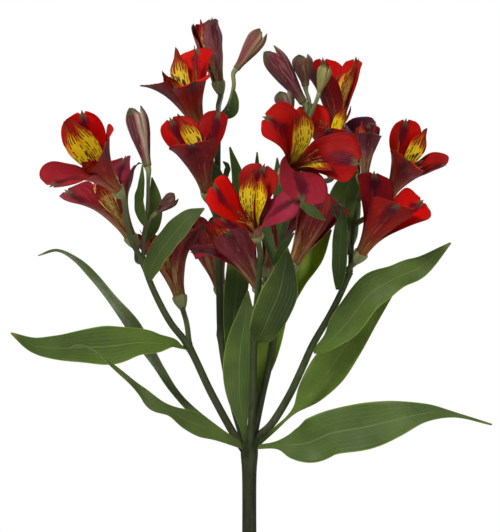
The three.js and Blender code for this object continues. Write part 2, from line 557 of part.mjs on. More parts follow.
// A bud: a spindle of six ribs, three of which end in tips that part round a hollow.
function bud({ at, aim, long, wide }) {
  const frame = axes(aim, [0.3, 1, 0.1]);
  const base = vec(at);
  const foot = GAP / long;
  // Rings from foot to hollow, as shares of the width and length: at the tips, then between them.
  const rings = [
    [[0.38, foot], [0.33, foot]],
    [[0.42, 0.12], [0.37, 0.12]],
    [[0.67, 0.34], [0.59, 0.34]],
    [[0.94, 0.56], [0.83, 0.56]],
    [[1.05, 0.76], [0.92, 0.74]],
    [[0.58, 1], [0.78, 0.86]],
    [[0.16, 0.78], [0.16, 0.78]],
  ];
  const sides = 6;
  const points = [];
  for (const ring of rings) {
    for (let k = 0; k < sides; k += 1) {
      const turn = (2 * Math.PI * k) / sides;
      const [across, up] = ring[k % 2];
      const radius = (wide / 2) * across;
      points.push(place(base, frame, Math.cos(turn) * radius, Math.sin(turn) * radius, up * long));
    }
  }
  // The frame is right-handed as side, upper, forward, so the rings turn the outward way.
  return solid(indexed(points, skin(rings.length - 1, sides)));
}

// The stem in one piece: main stem, rays, twigs, stalks, ovaries and bracts. With grow it is
// that much thicker all round, to cut the leaves clear of it.
function stem(grow = 0) {
  const thick = (radii) => radii.map((r) => r + grow);
  const foot = STEM_FOOT - WHORL_HEIGHT;
  const upright = [foot, -12, -1, 4].map((z) => vec([0, 0, z]));
  const parts = [rod(upright, thick([STEM_RADIUS, STEM_RADIUS, WHORL_RADIUS, STEM_RADIUS]), 9)];
  for (const ray of Object.values(RAYS)) {
    parts.push(rod(ray.map(vec), thick(tapered(ray, 2.2, 1.5)), 5));
  }
  for (const twig of Object.values(TWIGS)) {
    parts.push(rod(twig.map(vec), thick(tapered(twig, 1.25, 1))));
  }
  for (const { at, aim, top, stalk } of BLOOMS) {
    const frame = axes(aim, top);
    const ovary = [-OVARY_LENGTH, -OVARY_LENGTH * 0.5, 0].map((h) => place(vec(at), frame, 0, 0, h));
    const radii = [...tapered(stalk, 1.4, 1.4), 1.7, OVARY_RADIUS, OVARY_RADIUS - 0.2];
    parts.push(rod([...stalk.map(vec), ...ovary], thick(radii)));
  }
  for (const { at, aim, stalk, wide } of BUDS) {
    const back = vec(at).addScaledVector(vec(aim).normalize(), -3);
    const radii = [...tapered(stalk, 1.1, 1.1), 1.2, wide * 0.17];
    parts.push(rod([...stalk.map(vec), back, vec(at)], thick(radii)));
  }
  for (const bract of grow ? [] : BRACTS) {
    parts.push(leafBlade({ midrib: bract.midrib, facing: [bract.facing, bract.facing] }));
  }
  return joined(parts);
}

// Assembly
const lily = new THREE.Group();
lily.add(mesh("pot", pot(), MATERIALS.clay));
lily.add(mesh("soil", soil(), MATERIALS.soil));

const plant = new THREE.Group();
plant.position.z = WHORL_HEIGHT;
plant.add(mesh("stem", stem(), MATERIALS.stem));
const clearance = stem(GAP);
for (const [name, leaf] of Object.entries(LEAVES)) {
  plant.add(mesh(name, largest(leafBlade(leaf).subtract(clearance)), MATERIALS.leaf));
}
BLOOMS.forEach((bloom, i) => {
  const number = String(i + 1).padStart(2, "0");
  plant.add(mesh(`bloom_${number}_outer`, outerTepals(bloom, i), MATERIALS.red));
  plant.add(mesh(`bloom_${number}_inner`, innerTepals(bloom, i), MATERIALS.yellow));
});
BUDS.forEach((shape, i) => {
  plant.add(mesh(`bud_${i + 1}`, bud(shape), MATERIALS[shape.finish]));
});
lily.add(plant);

export default lily;
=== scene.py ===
import math

import bpy
import mathutils
import numpy as np
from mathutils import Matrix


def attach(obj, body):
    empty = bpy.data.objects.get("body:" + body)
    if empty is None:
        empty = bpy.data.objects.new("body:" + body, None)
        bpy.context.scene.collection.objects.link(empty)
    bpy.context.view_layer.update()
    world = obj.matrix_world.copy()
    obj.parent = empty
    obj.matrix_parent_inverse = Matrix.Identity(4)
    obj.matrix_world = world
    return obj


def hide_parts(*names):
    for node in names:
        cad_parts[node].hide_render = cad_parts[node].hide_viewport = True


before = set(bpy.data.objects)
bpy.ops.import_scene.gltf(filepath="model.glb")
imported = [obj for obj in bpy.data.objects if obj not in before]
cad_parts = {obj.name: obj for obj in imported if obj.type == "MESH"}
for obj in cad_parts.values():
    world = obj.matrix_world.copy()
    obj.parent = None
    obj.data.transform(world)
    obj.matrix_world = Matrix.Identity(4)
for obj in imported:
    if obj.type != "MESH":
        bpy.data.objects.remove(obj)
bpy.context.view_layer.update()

# Pot
# A plain flower pot of red clay, thrown on a wheel and fired unglazed, with a thick rim to lift it
# by and three drain holes in its base. Lime from the water has dried on the wall as pale bloom.
MM = 0.001
POT_SIDES = 96
POT_SECTION = [(0, 0), (46.6, 0), (48, 1.4), (56.2, 52), (63.8, 100), (64.4, 101), (68, 101.4), (68.9, 102.6),
               (69.6, 112), (70, 122.6), (69.3, 124.4), (67.9, 125), (65, 125), (64, 124.2), (58.6, 101),
               (57.6, 97), (43.6, 7.4), (42, 6), (0, 6)]
DRAIN_HOLES = 3
DRAIN_RADIUS = 5
DRAIN_CIRCLE = 26
DRILL_LENGTH = 40
WHEEL = 20
SHARP_ANGLE = math.radians(40)


def colour(red, green, blue):
    """A linear colour from a screen colour of 0 to 255."""
    linear = [v / 3294.6 if v < 10.3 else ((v / 255 + 0.055) / 1.055) ** 2.4 for v in (red, green, blue)]
    return (*linear, 1)


def add(tree, kind, feeds=None, **settings):
    """A new node. Each named or numbered input is fed a value, another node or a node's output."""
    node = tree.nodes.new(kind)
    for name, value in settings.items():
        setattr(node, name, value)
    for label, value in (feeds or {}).items():
        if isinstance(value, bpy.types.Node):
            value = value.outputs[0]
        if isinstance(value, bpy.types.NodeSocket):
            tree.links.new(value, node.inputs[label])
        else:
            node.inputs[label].default_value = value
    return node


def new_tree(name, kind, inputs):
    """A node tree with named inputs: the tree, its inputs' sockets and its output's socket. One of
    Geometry Nodes makes a mesh of a mesh, and one for finishes makes a mask."""
    tree = bpy.data.node_groups.new(name, kind)
    output, form = "Mask", "Float"
    if kind == "GeometryNodeTree":
        output = form = "Geometry"
        inputs = {"Geometry": ("Geometry", None), **inputs}
    for label, (kind_of_input, value) in inputs.items():
        socket = tree.interface.new_socket(label, in_out="INPUT", socket_type="NodeSocket" + kind_of_input)
        if value is not None:
            socket.default_value = value
    tree.interface.new_socket(output, in_out="OUTPUT", socket_type="NodeSocket" + form)
    return tree, tree.nodes.new("NodeGroupInput").outputs, tree.nodes.new("NodeGroupOutput").inputs[0]


def formed(name, source, tree, values):
    """The plain mesh that a Geometry Nodes tree makes of a source mesh."""
    raw = bpy.data.objects.new(name, source)
    bpy.context.scene.collection.objects.link(raw)
    former = raw.modifiers.new("form", "NODES")
    former.node_group = tree
    for item in tree.interface.items_tree:
        if item.in_out == "INPUT" and item.name in values:
            former[item.identifier] = values[item.name]
    mesh = bpy.data.meshes.new_from_object(raw.evaluated_get(bpy.context.evaluated_depsgraph_get()))
    bpy.data.objects.remove(raw)
    while mesh.materials[0] is None:
        mesh.materials.pop(index=0)
    mesh.shade_smooth()
    mesh.set_sharp_from_angle(angle=SHARP_ANGLE)
    return mesh


def show(name, mesh, slot, *nodes):
    """Puts a mesh in the scene as the piece that stands for those nodes."""
    piece = bpy.data.objects.new(name, mesh)
    bpy.context.scene.collection.objects.link(piece)
    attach(piece, "root")
    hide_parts(*nodes)


def ring_of(tree, sides, radius):
    return add(tree, "GeometryNodeCurvePrimitiveCircle", {"Resolution": sides, "Radius": radius})


def turned_tree():
    """Turns a section, drawn as edges with x out from the axis and y up, into a closed round form."""
    tree, given, made = new_tree("turned form", "GeometryNodeTree", {"Sides": ("Int", POT_SIDES)})
    section = add(tree, "GeometryNodeMeshToCurve", {"Mesh": given["Geometry"]})
    wheel = ring_of(tree, given["Sides"], WHEEL * MM)
    swept = add(tree, "GeometryNodeCurveToMesh", {"Curve": wheel, "Profile Curve": section})
    outward = add(tree, "GeometryNodeFlipFaces", {"Mesh": swept})
    closed = add(tree, "GeometryNodeMergeByDistance", {"Geometry": outward, "Distance": 0.02 * MM})
    tree.links.new(closed.outputs[0], made)
    return tree


def turned_section(section):
    """A section's edges, with x measured from the turning wheel's radius."""
    mesh = bpy.data.meshes.new("section")
    points = [((x - WHEEL) * MM, -y * MM, 0) for x, y in section]
    mesh.from_pydata(points, [(i, i + 1) for i in range(len(points) - 1)], [])
    return mesh


def turned(tree, given):
    """The turned form of the section that a tree is given."""
    feeds = {label: given[label] for label in ("Geometry", "Sides")}
    return add(tree, "GeometryNodeGroup", feeds, node_tree=TURNED)


def end_of_former(tree, mesh, given, made):
    """Ends a tree of Geometry Nodes: real faces in the finish that was given."""
    real = add(tree, "GeometryNodeRealizeInstances", {"Geometry": mesh})
    done = add(tree, "GeometryNodeSetMaterial", {"Geometry": real, "Material": given["Finish"]})
    tree.links.new(done.outputs[0], made)
    return tree


def pot_tree():
    """The turned pot with its drain holes cut."""
    tree, given, made = new_tree("clay pot", "GeometryNodeTree", {
        "Sides": ("Int", POT_SIDES), "Drain radius": ("Float", DRAIN_RADIUS * MM),
        "Drain circle": ("Float", DRAIN_CIRCLE * MM), "Finish": ("Material", None)})
    ring = ring_of(tree, DRAIN_HOLES, given["Drain circle"])
    spots = add(tree, "GeometryNodeCurveToPoints", {"Curve": ring}, mode="EVALUATED")
    drill = add(tree, "GeometryNodeMeshCylinder",
                {"Vertices": 32, "Radius": given["Drain radius"], "Depth": DRILL_LENGTH * MM})
    drills = add(tree, "GeometryNodeInstanceOnPoints", {"Points": spots, "Instance": drill})
    holes = add(tree, "GeometryNodeRealizeInstances", {"Geometry": drills})
    cut = add(tree, "GeometryNodeMeshBoolean", {"Mesh 1": turned(tree, given), "Mesh 2": holes},
              operation="DIFFERENCE")
    return end_of_former(tree, cut, given, made)


def mottling_group():
    """Soft patches over a piece: 0 to 1 where a fine noise passes from the low to the high value."""
    tree, given, made = new_tree("mottling", "ShaderNodeTree", {
        "Scale": ("Float", 50), "Low": ("Float", 0.4), "High": ("Float", 0.6),
        "Stretch": ("Vector", (1, 1, 1))})
    place = add(tree, "ShaderNodeTexCoord").outputs["Object"]
    drawn = add(tree, "ShaderNodeVectorMath", {0: place, 1: given["Stretch"]}, operation="MULTIPLY")
    noise = add(tree, "ShaderNodeTexNoise", {"Vector": drawn, "Scale": given["Scale"], "Detail": 4.0})
    tree.links.new(faded(tree, noise, given["Low"], given["High"]), made)
    return tree


def mottled(tree, scale, low=0.35, high=0.65, stretch=(1, 1, 1)):
    feeds = {"Scale": scale, "Low": low, "High": high, "Stretch": stretch}
    return add(tree, "ShaderNodeGroup", feeds, node_tree=MOTTLING).outputs["Mask"]


def maths(tree, way, first, second=0.0, third=0.0):
    return add(tree, "ShaderNodeMath", {0: first, 1: second, 2: third}, operation=way).outputs[0]


def times(tree, first, second, more=0.0):
    """The product of two values, with more added to it."""
    return maths(tree, "MULTIPLY_ADD", first, second, more)


def faded(tree, value, start, end):
    """0 to 1 as a value passes from start to end."""
    feeds = {"Value": value, "From Min": start, "From Max": end}
    return add(tree, "ShaderNodeMapRange", feeds, interpolation_type="SMOOTHSTEP").outputs[0]


def layered(tree, base, *layers):
    """A colour under thin layers: each has its mask, the share of it that counts and its screen colour."""
    for mask, share, tone in layers:
        feeds = {0: times(tree, mask, share), 6: base, 7: colour(*tone)}
        base = add(tree, "ShaderNodeMix", feeds, data_type="RGBA").outputs[2]
    return base


def new_finish(name, **settings):
    """A material and its node tree, with shader values that are the same all over it."""
    finish = bpy.data.materials.new(name)
    finish.use_nodes = True
    for label, value in settings.items():
        finish.node_tree.nodes["Principled BSDF"].inputs[label.replace("_", " ")].default_value = value
    return finish, finish.node_tree


def finish_off(finish, base, rough, height, depth):
    """Gives a material its base colour, its roughness (a mask, and the values at 0 and 1 of it) and
    its relief: a height from 0 to 1 and how deep that is in millimetres."""
    tree = finish.node_tree
    mask, low, high = rough
    roughness = add(tree, "ShaderNodeMapRange", {"Value": mask, "To Min": low, "To Max": high}).outputs[0]
    feeds = {"Height": height, "Strength": 1.0, "Distance": depth * MM}
    relief = add(tree, "ShaderNodeBump", feeds).outputs[0]
    for label, value in (("Base Color", base), ("Roughness", roughness), ("Normal", relief)):
        tree.links.new(value, tree.nodes["Principled BSDF"].inputs[label])
    return finish


def clay_finish():
    finish, tree = new_finish("fired clay", Specular_IOR_Level=0.25)
    place = add(tree, "ShaderNodeTexCoord").outputs["Object"]
    height = add(tree, "ShaderNodeSeparateXYZ", {0: place}).outputs[2]
    grain = mottled(tree, 1400)
    rings = mottled(tree, 30, 0.3, 0.7, (0.6, 0.6, 26))
    lime = times(tree, mottled(tree, 34, 0.5, 0.68), faded(tree, height, 0.01, 0.06))
    chalk = times(tree, mottled(tree, 380, 0.4, 0.62), 0.34, 0.12)
    damp = times(tree, faded(tree, height, 0.035, 0.0), mottled(tree, 60, 0.3, 0.5))
    base = layered(
        tree, colour(176, 100, 68), (mottled(tree, 26), 1.0, (146, 74, 48)), (rings, 0.25, (196, 124, 92)),
        (lime, chalk, (208, 184, 166)), (damp, 0.5, (104, 56, 38)), (grain, 0.22, (110, 58, 40)))
    return finish_off(finish, base, (grain, 0.78, 0.95), times(tree, rings, 0.8, grain), 0.12)


TURNED = turned_tree()
MOTTLING = mottling_group()
pot = formed("clay_pot", turned_section(POT_SECTION), pot_tree(), {"Finish": clay_finish()})
show("clay_pot", pot, "clay", "pot")

# Soil
# Damp potting soil of bark and peat crumbs that fills the pot to a finger's width below its rim,
# drawn up in a low mound round the stem. It is poured and pressed, and its top is loose crumbs.
SOIL_SECTION = [(0, 6.4), (42, 6.4), (43.4, 7.8), (57.3, 97), (60, 110.2), (52, 111), (40, 111.4),
                (28, 112.2), (16, 113.2), (6, 114.2), (0, 114.4)]
CRUMB_RADIUS = 1.5
CRUMBS_PER_M2 = 150000
CRUMB_SIZES = (0.3, 0.3, 0.25), (1.3, 1.1, 0.8)
CRUMB_TURNS = (-0.6, -0.6, 0.0), (0.6, 0.6, 6.28)


def soil_tree():
    """The turned soil, its top strewn with uneven crumbs of many sizes."""
    tree, given, made = new_tree("potting soil", "GeometryNodeTree", {
        "Sides": ("Int", POT_SIDES), "Crumb radius": ("Float", CRUMB_RADIUS * MM),
        "Crumbs per square metre": ("Float", CRUMBS_PER_M2), "Seed": ("Int", 4),
        "Finish": ("Material", None)})
    filled = turned(tree, given)
    upward = add(tree, "ShaderNodeSeparateXYZ", {0: add(tree, "GeometryNodeInputNormal")}).outputs[2]
    top = add(tree, "FunctionNodeCompare", {0: upward, 1: 0.6}, operation="GREATER_THAN")
    points = add(tree, "GeometryNodeDistributePointsOnFaces", {
        "Mesh": filled, "Selection": top, "Density": given["Crumbs per square metre"], "Seed": given["Seed"]})
    ball = add(tree, "GeometryNodeMeshIcoSphere", {"Radius": given["Crumb radius"], "Subdivisions": 2})
    lumps = add(tree, "ShaderNodeTexNoise", {"Scale": 700.0, "Detail": 1.0}).outputs["Color"]
    centred = add(tree, "ShaderNodeVectorMath", {0: lumps, 1: (0.5, 0.5, 0.5)}, operation="SUBTRACT")
    knocked = add(tree, "ShaderNodeVectorMath", {0: centred, 1: (0.003, 0.002, 0.0035)}, operation="MULTIPLY")
    crumb = add(tree, "GeometryNodeSetPosition", {"Geometry": ball, "Offset": knocked})
    size, turn = (add(tree, "FunctionNodeRandomValue", {"Min": least, "Max": most, "Seed": seed},
                      data_type="FLOAT_VECTOR")
                  for (least, most), seed in ((CRUMB_SIZES, given["Seed"]), (CRUMB_TURNS, 9)))
    tumbled = add(tree, "FunctionNodeEulerToRotation", {0: turn})
    strewn = add(tree, "GeometryNodeInstanceOnPoints",
                 {"Points": points, "Instance": crumb, "Scale": size, "Rotation": tumbled})
    both = add(tree, "GeometryNodeJoinGeometry", {0: filled})
    tree.links.new(strewn.outputs[0], both.inputs[0])
    return end_of_former(tree, both, given, made)


def soil_finish():
    finish, tree = new_finish("damp potting soil", Specular_IOR_Level=0.2)
    grain = mottled(tree, 900, 0.3, 0.7)
    base = layered(tree, colour(46, 33, 25), (mottled(tree, 190), 1.0, (84, 62, 46)),
                   (mottled(tree, 420, 0.56, 0.62), 1.0, (122, 96, 70)),
                   (mottled(tree, 60, 0.5, 0.7), 1.0, (34, 25, 20)))
    return finish_off(finish, base, (grain, 0.8, 1.0), grain, 0.5)


soil = formed("potting_soil", turned_section(SOIL_SECTION), soil_tree(), {"Finish": soil_finish()})
show("potting_soil", soil, "soil", "soil")

# Stem
# One upright ribbed stem whose top forks into five rays. Each ray forks again into thin stalks,
# and each stalk widens under its bloom into a green ovary with six ribs. It grew in one piece.
# Points are in millimetres from the whorl, where the rays and leaves part.
WHORL = 190
RAYS = {
    "left": [(0, 0, -3), (-4.4, -1, 2), (-19.3, -5, 28.3), (-31.7, -9, 53.8), (-41, -13, 66),
             (-50, -17, 83.5), (-55, -19, 97)],
    "back": [(0, 1, -3), (-1.5, 3, 1.5), (-7.3, 8, 20), (-12, 13, 41), (-14.6, 17, 59), (-15.6, 20, 93),
             (-17, 20, 116.5), (-16.5, 18, 137), (-16.4, 18, 155.5), (-16, 20, 172)],
    "front": [(0, -1, -3), (0.5, -3, 3), (2, -8, 25.5), (2.6, -14, 58), (4.2, -20, 77.5), (5.7, -27, 97)],
    "middle": [(1, 0, -3), (2, 2, 4), (6.8, 6, 28), (11, 8, 46), (14, 6, 67), (15.6, 0, 90.5),
               (16.6, -8, 106), (19.8, -18, 120)],
    "right": [(1.5, 0, -3), (3.6, -1, 5), (11, -2, 12), (21, -4, 28), (27.6, -5, 42), (33, -6, 54),
              (42, -7, 69.6), (48.4, -8, 82.5), (52.4, -8, 92)],
}
TWIGS = [[(16.6, -8, 106), (22, 2, 130), (27, 6, 150), (29, 8, 165)],
         [(52.4, -8, 92), (53, -4, 101), (54.5, 0, 116.5), (57, 0, 130)]]
STEM_HEIGHTS, STEM_RADII = [-120, -60, -12, -1, 3.8], [3.8, 3.75, 3.8, 4.5, 3.8]
RAY_RADII = [2.25, 1.95, 1.75, 1.5]
TWIG_RADII = [1.25, 1]
BLOOM_STALK_RADII = [1.4, 1.4, 1.5, 1.8]
BUD_STALK_RADII = [1.1, 1.05, 1.1]
FORK_SWELL, FORK_REACH = 0.28, 2.6
OVARY_LENGTH = 7
OVARY_RADIUS = 3.5
# Blooms: where each stands, the way it aims, its upper side, its size, how wide it has opened, its
# age and its stalk. Bends turn its outer tepals out or in, and turns swing its tepals round, in
# degrees. Broad holds each outer tepal's breadth beside the usual one. Faded lists the outer
# tepals whose tint isn't their bloom's: some have aged first, and some have a darker red that is
# painted shade, for tepals that lie in shadow.
FRESH, SHADED_RED, OLDER, WITHERED, SHUT = "fresh", "deep", "older", "withered", "shut"
BLOOMS = [
    dict(at=(-68.7, -31, 135), aim=(-0.48, -0.67, 0.56), top=(-0.25, 0.72, 0.65), size=1.06, open=0.6,
         age=FRESH, bends=[-3, 21, -2], turns=[-26, 3, -13, -17, 21], broad=[1.06, 1.2, 1.19],
         faded={1: OLDER}, stalk=[(-55, -19, 97), (-61.4, -22, 110)]),
    dict(at=(-62.2, 7, 111), aim=(-0.47, -0.17, 0.87), top=(0.07, 0.97, 0.22), size=0.95, open=0.91,
         age=OLDER, bends=[-19, -14, 3], turns=[-45, -60, 11, -21, 13], broad=[1.06, 1.35, 0.86],
         stalk=[(-55, -19, 97), (-58, -6, 98)]),
    dict(at=(-36.5, 15.9, 79.9), aim=(-0.25, 0.13, 0.96), top=(-0.96, -0.15, -0.23), size=0.89, open=0.63,
         age=OLDER, bends=[-10, 22, -10], turns=[16, 37, -20, 18, 2],
         stalk=[(-31, -9, 54), (-32.3, 0, 64.5)]),
    dict(at=(-25.6, 25.1, 166.4), aim=(-0.33, -0.23, 0.92), top=(0.56, 0.73, 0.38), size=0.99, open=0.55,
         age=FRESH, bends=[8, 27, 55], turns=[2, 60, -9, 1, -27], broad=[1.08, 0.97, 0.92], faded={1: SHADED_RED},
         stalk=[(-16.5, 18, 137), (-18.5, 24, 146)]),
    dict(at=(-22, -1.1, 134.3), aim=(-0.21, -0.43, 0.88), top=(-0.73, 0.66, 0.15), size=0.95, open=0.59,
         age=FRESH, bends=[-2, 0, 5], turns=[-15, 14, 24, 30, 2], broad=[0.97, 1.15, 1.05], faded={2: SHADED_RED},
         stalk=[(-17, 20, 116.5), (-17.5, 11, 121)]),
    dict(at=(-16.4, 42.2, 192.2), aim=(-0.22, 0.03, 0.98), top=(0.41, -0.9, 0.12), size=0.74, open=0.08,
         age=SHUT, bends=[-5, -5, 0], turns=[11, 15, -36, 3, 6], stalk=[(-16, 20, 172), (-16, 34, 179)]),
    dict(at=(-15.5, 36.2, 84.9), aim=(-0.23, 0.32, 0.92), top=(0.15, 0.94, -0.29), size=0.89, open=0.57,
         age=OLDER, bends=[0, -2, 1], turns=[22, 45, -15, 10, -10], stalk=[(-14.6, 17, 59), (-15, 27, 72)]),
    dict(at=(3.7, -34.3, 112), aim=(-0.16, -0.83, 0.54), top=(0.25, 0.49, 0.83), size=0.9, open=0.87,
         age=FRESH, bends=[-3, -21, 37], turns=[-10, -42, 50, -22, -1], faded={0: OLDER, 2: OLDER},
         stalk=[(5.7, -27, 97), (5.7, -30, 101)]),
    dict(at=(4.5, -6.1, 85.3), aim=(-0.43, -0.32, 0.84), top=(-0.83, 0.5, -0.24), size=0.92, open=0.57,
         age=OLDER, bends=[26, -24, 0], turns=[36, -5, 60, -10, 9], stalk=[(2.6, -14, 58), (2.5, -10, 72)]),
    dict(at=(9.8, 39.6, 95.7), aim=(0.22, -0.31, 0.93), top=(0.76, 0.65, 0.04), size=0.82, open=0.42,
         age=OLDER, bends=[10, 2, -14], turns=[14, -19, -9, -1, -3], stalk=[(14, 6, 67), (12, 22, 80)]),
    dict(at=(18.8, -25.3, 143.4), aim=(0.43, -0.79, 0.43), top=(-0.52, 0.17, 0.84), size=1.02, open=0.88,
         age=FRESH, bends=[28, 46, 5], turns=[38, 24, -24, 5, 23], broad=[1.12, 1.21, 1.26],
         faded={1: OLDER, 2: SHADED_RED}, stalk=[(19.8, -18, 120), (20.5, -23, 131)]),
    dict(at=(44.9, 36.8, 163), aim=(0.05, -0.08, 1), top=(0.96, 0.29, -0.03), size=0.95, open=0.5, age=FRESH,
         bends=[-25, -15, 18], turns=[25, -6, -58, -24, -13], broad=[0.91, 1, 1.07], faded={2: SHADED_RED},
         stalk=[(27, 6, 150), (34, 24, 156)]),
    dict(at=(42.9, 21.2, 147.1), aim=(-0.04, -0.5, 0.86), top=(0.93, 0.29, 0.21), size=0.81, open=0.7,
         age=FRESH, bends=[49, 16, -16], turns=[-18, -6, 5, -18, 6], broad=[0.95, 1.06, 1.08],
         faded={0: WITHERED}, stalk=[(22, 2, 130), (36, 9, 138)]),
    dict(at=(59.4, -12.3, 143), aim=(0, -0.01, 1), top=(0.64, 0.77, 0.01), size=0.61, open=0.33, age=WITHERED,
         bends=[-2, -5, 50], turns=[24, -5, -13, 3, -5], stalk=[(57, 0, 130), (59, -8, 135)]),
    dict(at=(74.2, 13.6, 133.7), aim=(0.39, -0.64, 0.66), top=(-0.65, 0.32, 0.69), size=0.91, open=0.58,
         age=FRESH, bends=[2, -14, -7], turns=[-20, -10, -52, 16, -30], broad=[0.96, 1.02, 0.97],
         faded={2: SHADED_RED}, stalk=[(54.5, 0, 116.5), (64, 8, 122)]),
    dict(at=(58.7, -15.6, 102.6), aim=(0.45, -0.46, 0.77), top=(0.89, 0.3, -0.34), size=0.96, open=0.6,
         age=FRESH, bends=[30, 32, -26], turns=[35, -8, 27, -60, 7], broad=[1.09, 1.07, 1.06],
         faded={1: SHADED_RED}, stalk=[(51, -8, 92), (53, -9.5, 95)]),
    dict(at=(23.4, 15, 96.6), aim=(0.44, 0.1, 0.89), top=(0.72, 0.56, -0.42), size=0.93, open=0.31, age=OLDER,
         bends=[-5, 23, -12], turns=[16, 15, -21, 10, 10], stalk=[(14, 6, 67), (20, 12, 84)]),
]
# Buds: where each starts, the way it points, its length, its width and its stalk.
BUDS = [
    dict(at=(-52.8, -12, 147.2), aim=(-0.23, 0, 1), long=31, wide=11.5,
         stalk=[(-55, -19, 97), (-54.2, -16, 111.3), (-52.6, -14, 124.3), (-52.2, -12, 140)]),
    dict(at=(-47.8, -18, 123), aim=(0.75, -0.1, 0.66), long=13, wide=7,
         stalk=[(-54.2, -16, 111.3), (-51, -16, 120)]),
    dict(at=(-6.5, 30, 198.3), aim=(0.56, 0.05, 0.83), long=24, wide=9.4,
         stalk=[(-16, 20, 172), (-11, 22.5, 178.5), (-8, 27, 189)]),
    dict(at=(28.2, 10, 180.4), aim=(-0.56, 0, 0.83), long=33, wide=12, stalk=[(29, 8, 165), (29.4, 9, 173)]),
    dict(at=(29.4, 15, 189.3), aim=(-0.14, -0.1, 1), long=16, wide=10.5,
         stalk=[(29, 8, 165), (31.5, 12, 180)]),
    dict(at=(36.4, -12, 185.6), aim=(0.25, -0.1, 0.97), long=14, wide=7, stalk=[(29, 8, 165), (31, -4, 171)]),
    dict(at=(21.5, -2, 171.5), aim=(-0.3, -0.1, 0.95), long=15, wide=10,
         stalk=[(22, 2, 130), (20.5, 2, 150), (21.5, 0, 164)]),
    dict(at=(49, -5, 116), aim=(-0.35, -0.1, 0.9), long=12, wide=6, stalk=[(52.5, -4, 101), (51, -5, 109)]),
]


def unit(vector):
    return vector / np.linalg.norm(vector, axis=-1, keepdims=True)


def axes(aim, top):
    """Side, upper and forward directions of a bloom or bud."""
    forward = unit(np.array(aim, float))
    upper = unit(np.array(top) - forward * np.dot(top, forward))
    return np.stack([np.cross(upper, forward), upper, forward])


def through(knots, steps):
    """Points of a smooth line through knots, at shares from 0 to 1 of its spans. What follows x, y
    and z in a knot, such as a width, runs along with them."""
    knots = np.array(knots, float)
    padded = np.vstack([2 * knots[0] - knots[1], knots, 2 * knots[-1] - knots[-2]])
    spans = np.sqrt(np.linalg.norm(np.diff(padded[:, :3], axis=0), axis=1))[:, None]
    position = np.clip(steps, 0, 1) * (len(knots) - 1)
    span = np.minimum(position.astype(int), len(knots) - 2)
    t = (position - span)[:, None]
    before, start, end, after = (padded[span + k] for k in range(4))
    first, middle, last = (spans[span + k] for k in range(3))
    leave = ((start - before) / first - (end - before) / (first + middle)) * middle + end - start
    arrive = ((after - end) / last - (after - start) / (middle + last)) * middle + end - start
    bend = 3 * (end - start) - 2 * leave - arrive
    ease = 2 * (start - end) + leave + arrive
    return start + leave * t + bend * t ** 2 + ease * t ** 3


def shoot(knots, radii, tones, spans=8):
    """A shoot's line with its radius and its tone, from 0 for old dark green to 1 for pale new green."""
    shares = np.linspace(0, 1, len(knots))
    thickness = np.interp(shares, np.linspace(0, 1, len(radii)), radii)
    rows = np.hstack([np.array(knots, float), thickness[:, None]])
    line = through(rows, np.linspace(0, 1, (len(knots) - 1) * spans + 1))
    return np.hstack([line, np.linspace(*tones, len(line))[:, None]])


def shoot_lines(name, lines):
    """Shoots as edges, in metres, which carry their radius and tone."""
    points = np.vstack(lines)
    edges, first = [], 0
    for line in lines:
        edges += [(i, i + 1) for i in range(first, first + len(line) - 1)]
        first += len(line)
    mesh = bpy.data.meshes.new(name)
    mesh.from_pydata(((points[:, :3] + (0, 0, WHORL)) * MM).tolist(), edges, [])
    mesh.attributes.new("thickness", "FLOAT", "POINT").data.foreach_set("value", points[:, 3] * MM)
    mesh.attributes.new("tone", "FLOAT", "POINT").data.foreach_set("value", points[:, 4])
    return mesh


def shoot_tree():
    """Gives each line of edges a ribbed round skin of its own thickness, closed at both ends."""
    tree, given, made = new_tree("ribbed shoots", "GeometryNodeTree", {
        "Sides": ("Int", 24), "Ribs": ("Float", 6), "Rib depth": ("Float", 0.05),
        "Finish": ("Material", None)})
    lines = add(tree, "GeometryNodeMeshToCurve", {"Mesh": given["Geometry"]})
    ring = ring_of(tree, given["Sides"], 1.0)
    spot = add(tree, "GeometryNodeInputPosition")
    flat = add(tree, "ShaderNodeSeparateXYZ", {0: spot}).outputs
    wave = maths(tree, "COSINE", times(tree, maths(tree, "ARCTAN2", flat[1], flat[0]), given["Ribs"]))
    swell = times(tree, wave, given["Rib depth"], 1.0)
    swollen = add(tree, "ShaderNodeVectorMath", {0: spot, "Scale": swell}, operation="SCALE")
    ribbed = add(tree, "GeometryNodeSetPosition", {"Geometry": ring, "Position": swollen})
    thickness = add(tree, "GeometryNodeInputNamedAttribute", {"Name": "thickness"}, data_type="FLOAT")
    skin = add(tree, "GeometryNodeCurveToMesh",
               {"Curve": lines, "Profile Curve": ribbed, "Scale": thickness, "Fill Caps": True})
    return end_of_former(tree, skin, given, made)


def own(tree, label, output="Fac"):
    """A value that the mesh carries at each of its points."""
    return add(tree, "ShaderNodeAttribute", attribute_name=label).outputs[output]


def stem_finish():
    finish, tree = new_finish("green stem", Subsurface_Weight=0.05, Subsurface_Scale=0.001,
                              Specular_IOR_Level=0.16)
    tone = own(tree, "tone")
    streaks = mottled(tree, 60, 0.35, 0.7, (8, 8, 0.6))
    blush = times(tree, mottled(tree, 70, 0.5, 0.68), faded(tree, tone, 0.55, 0.95))
    wax = mottled(tree, 160, 0.4, 0.7)
    base = layered(
        tree, colour(34, 38, 17), (faded(tree, tone, 0.0, 0.5), 1.0, (60, 70, 36)),
        (faded(tree, tone, 0.5, 1.0), 1.0, (148, 152, 100)), (streaks, 0.2, (96, 106, 62)),
        (blush, 0.35, (140, 84, 70)), (wax, 0.06, (150, 160, 140)))
    return finish_off(finish, base, (wax, 0.45, 0.62), streaks, 0.08)


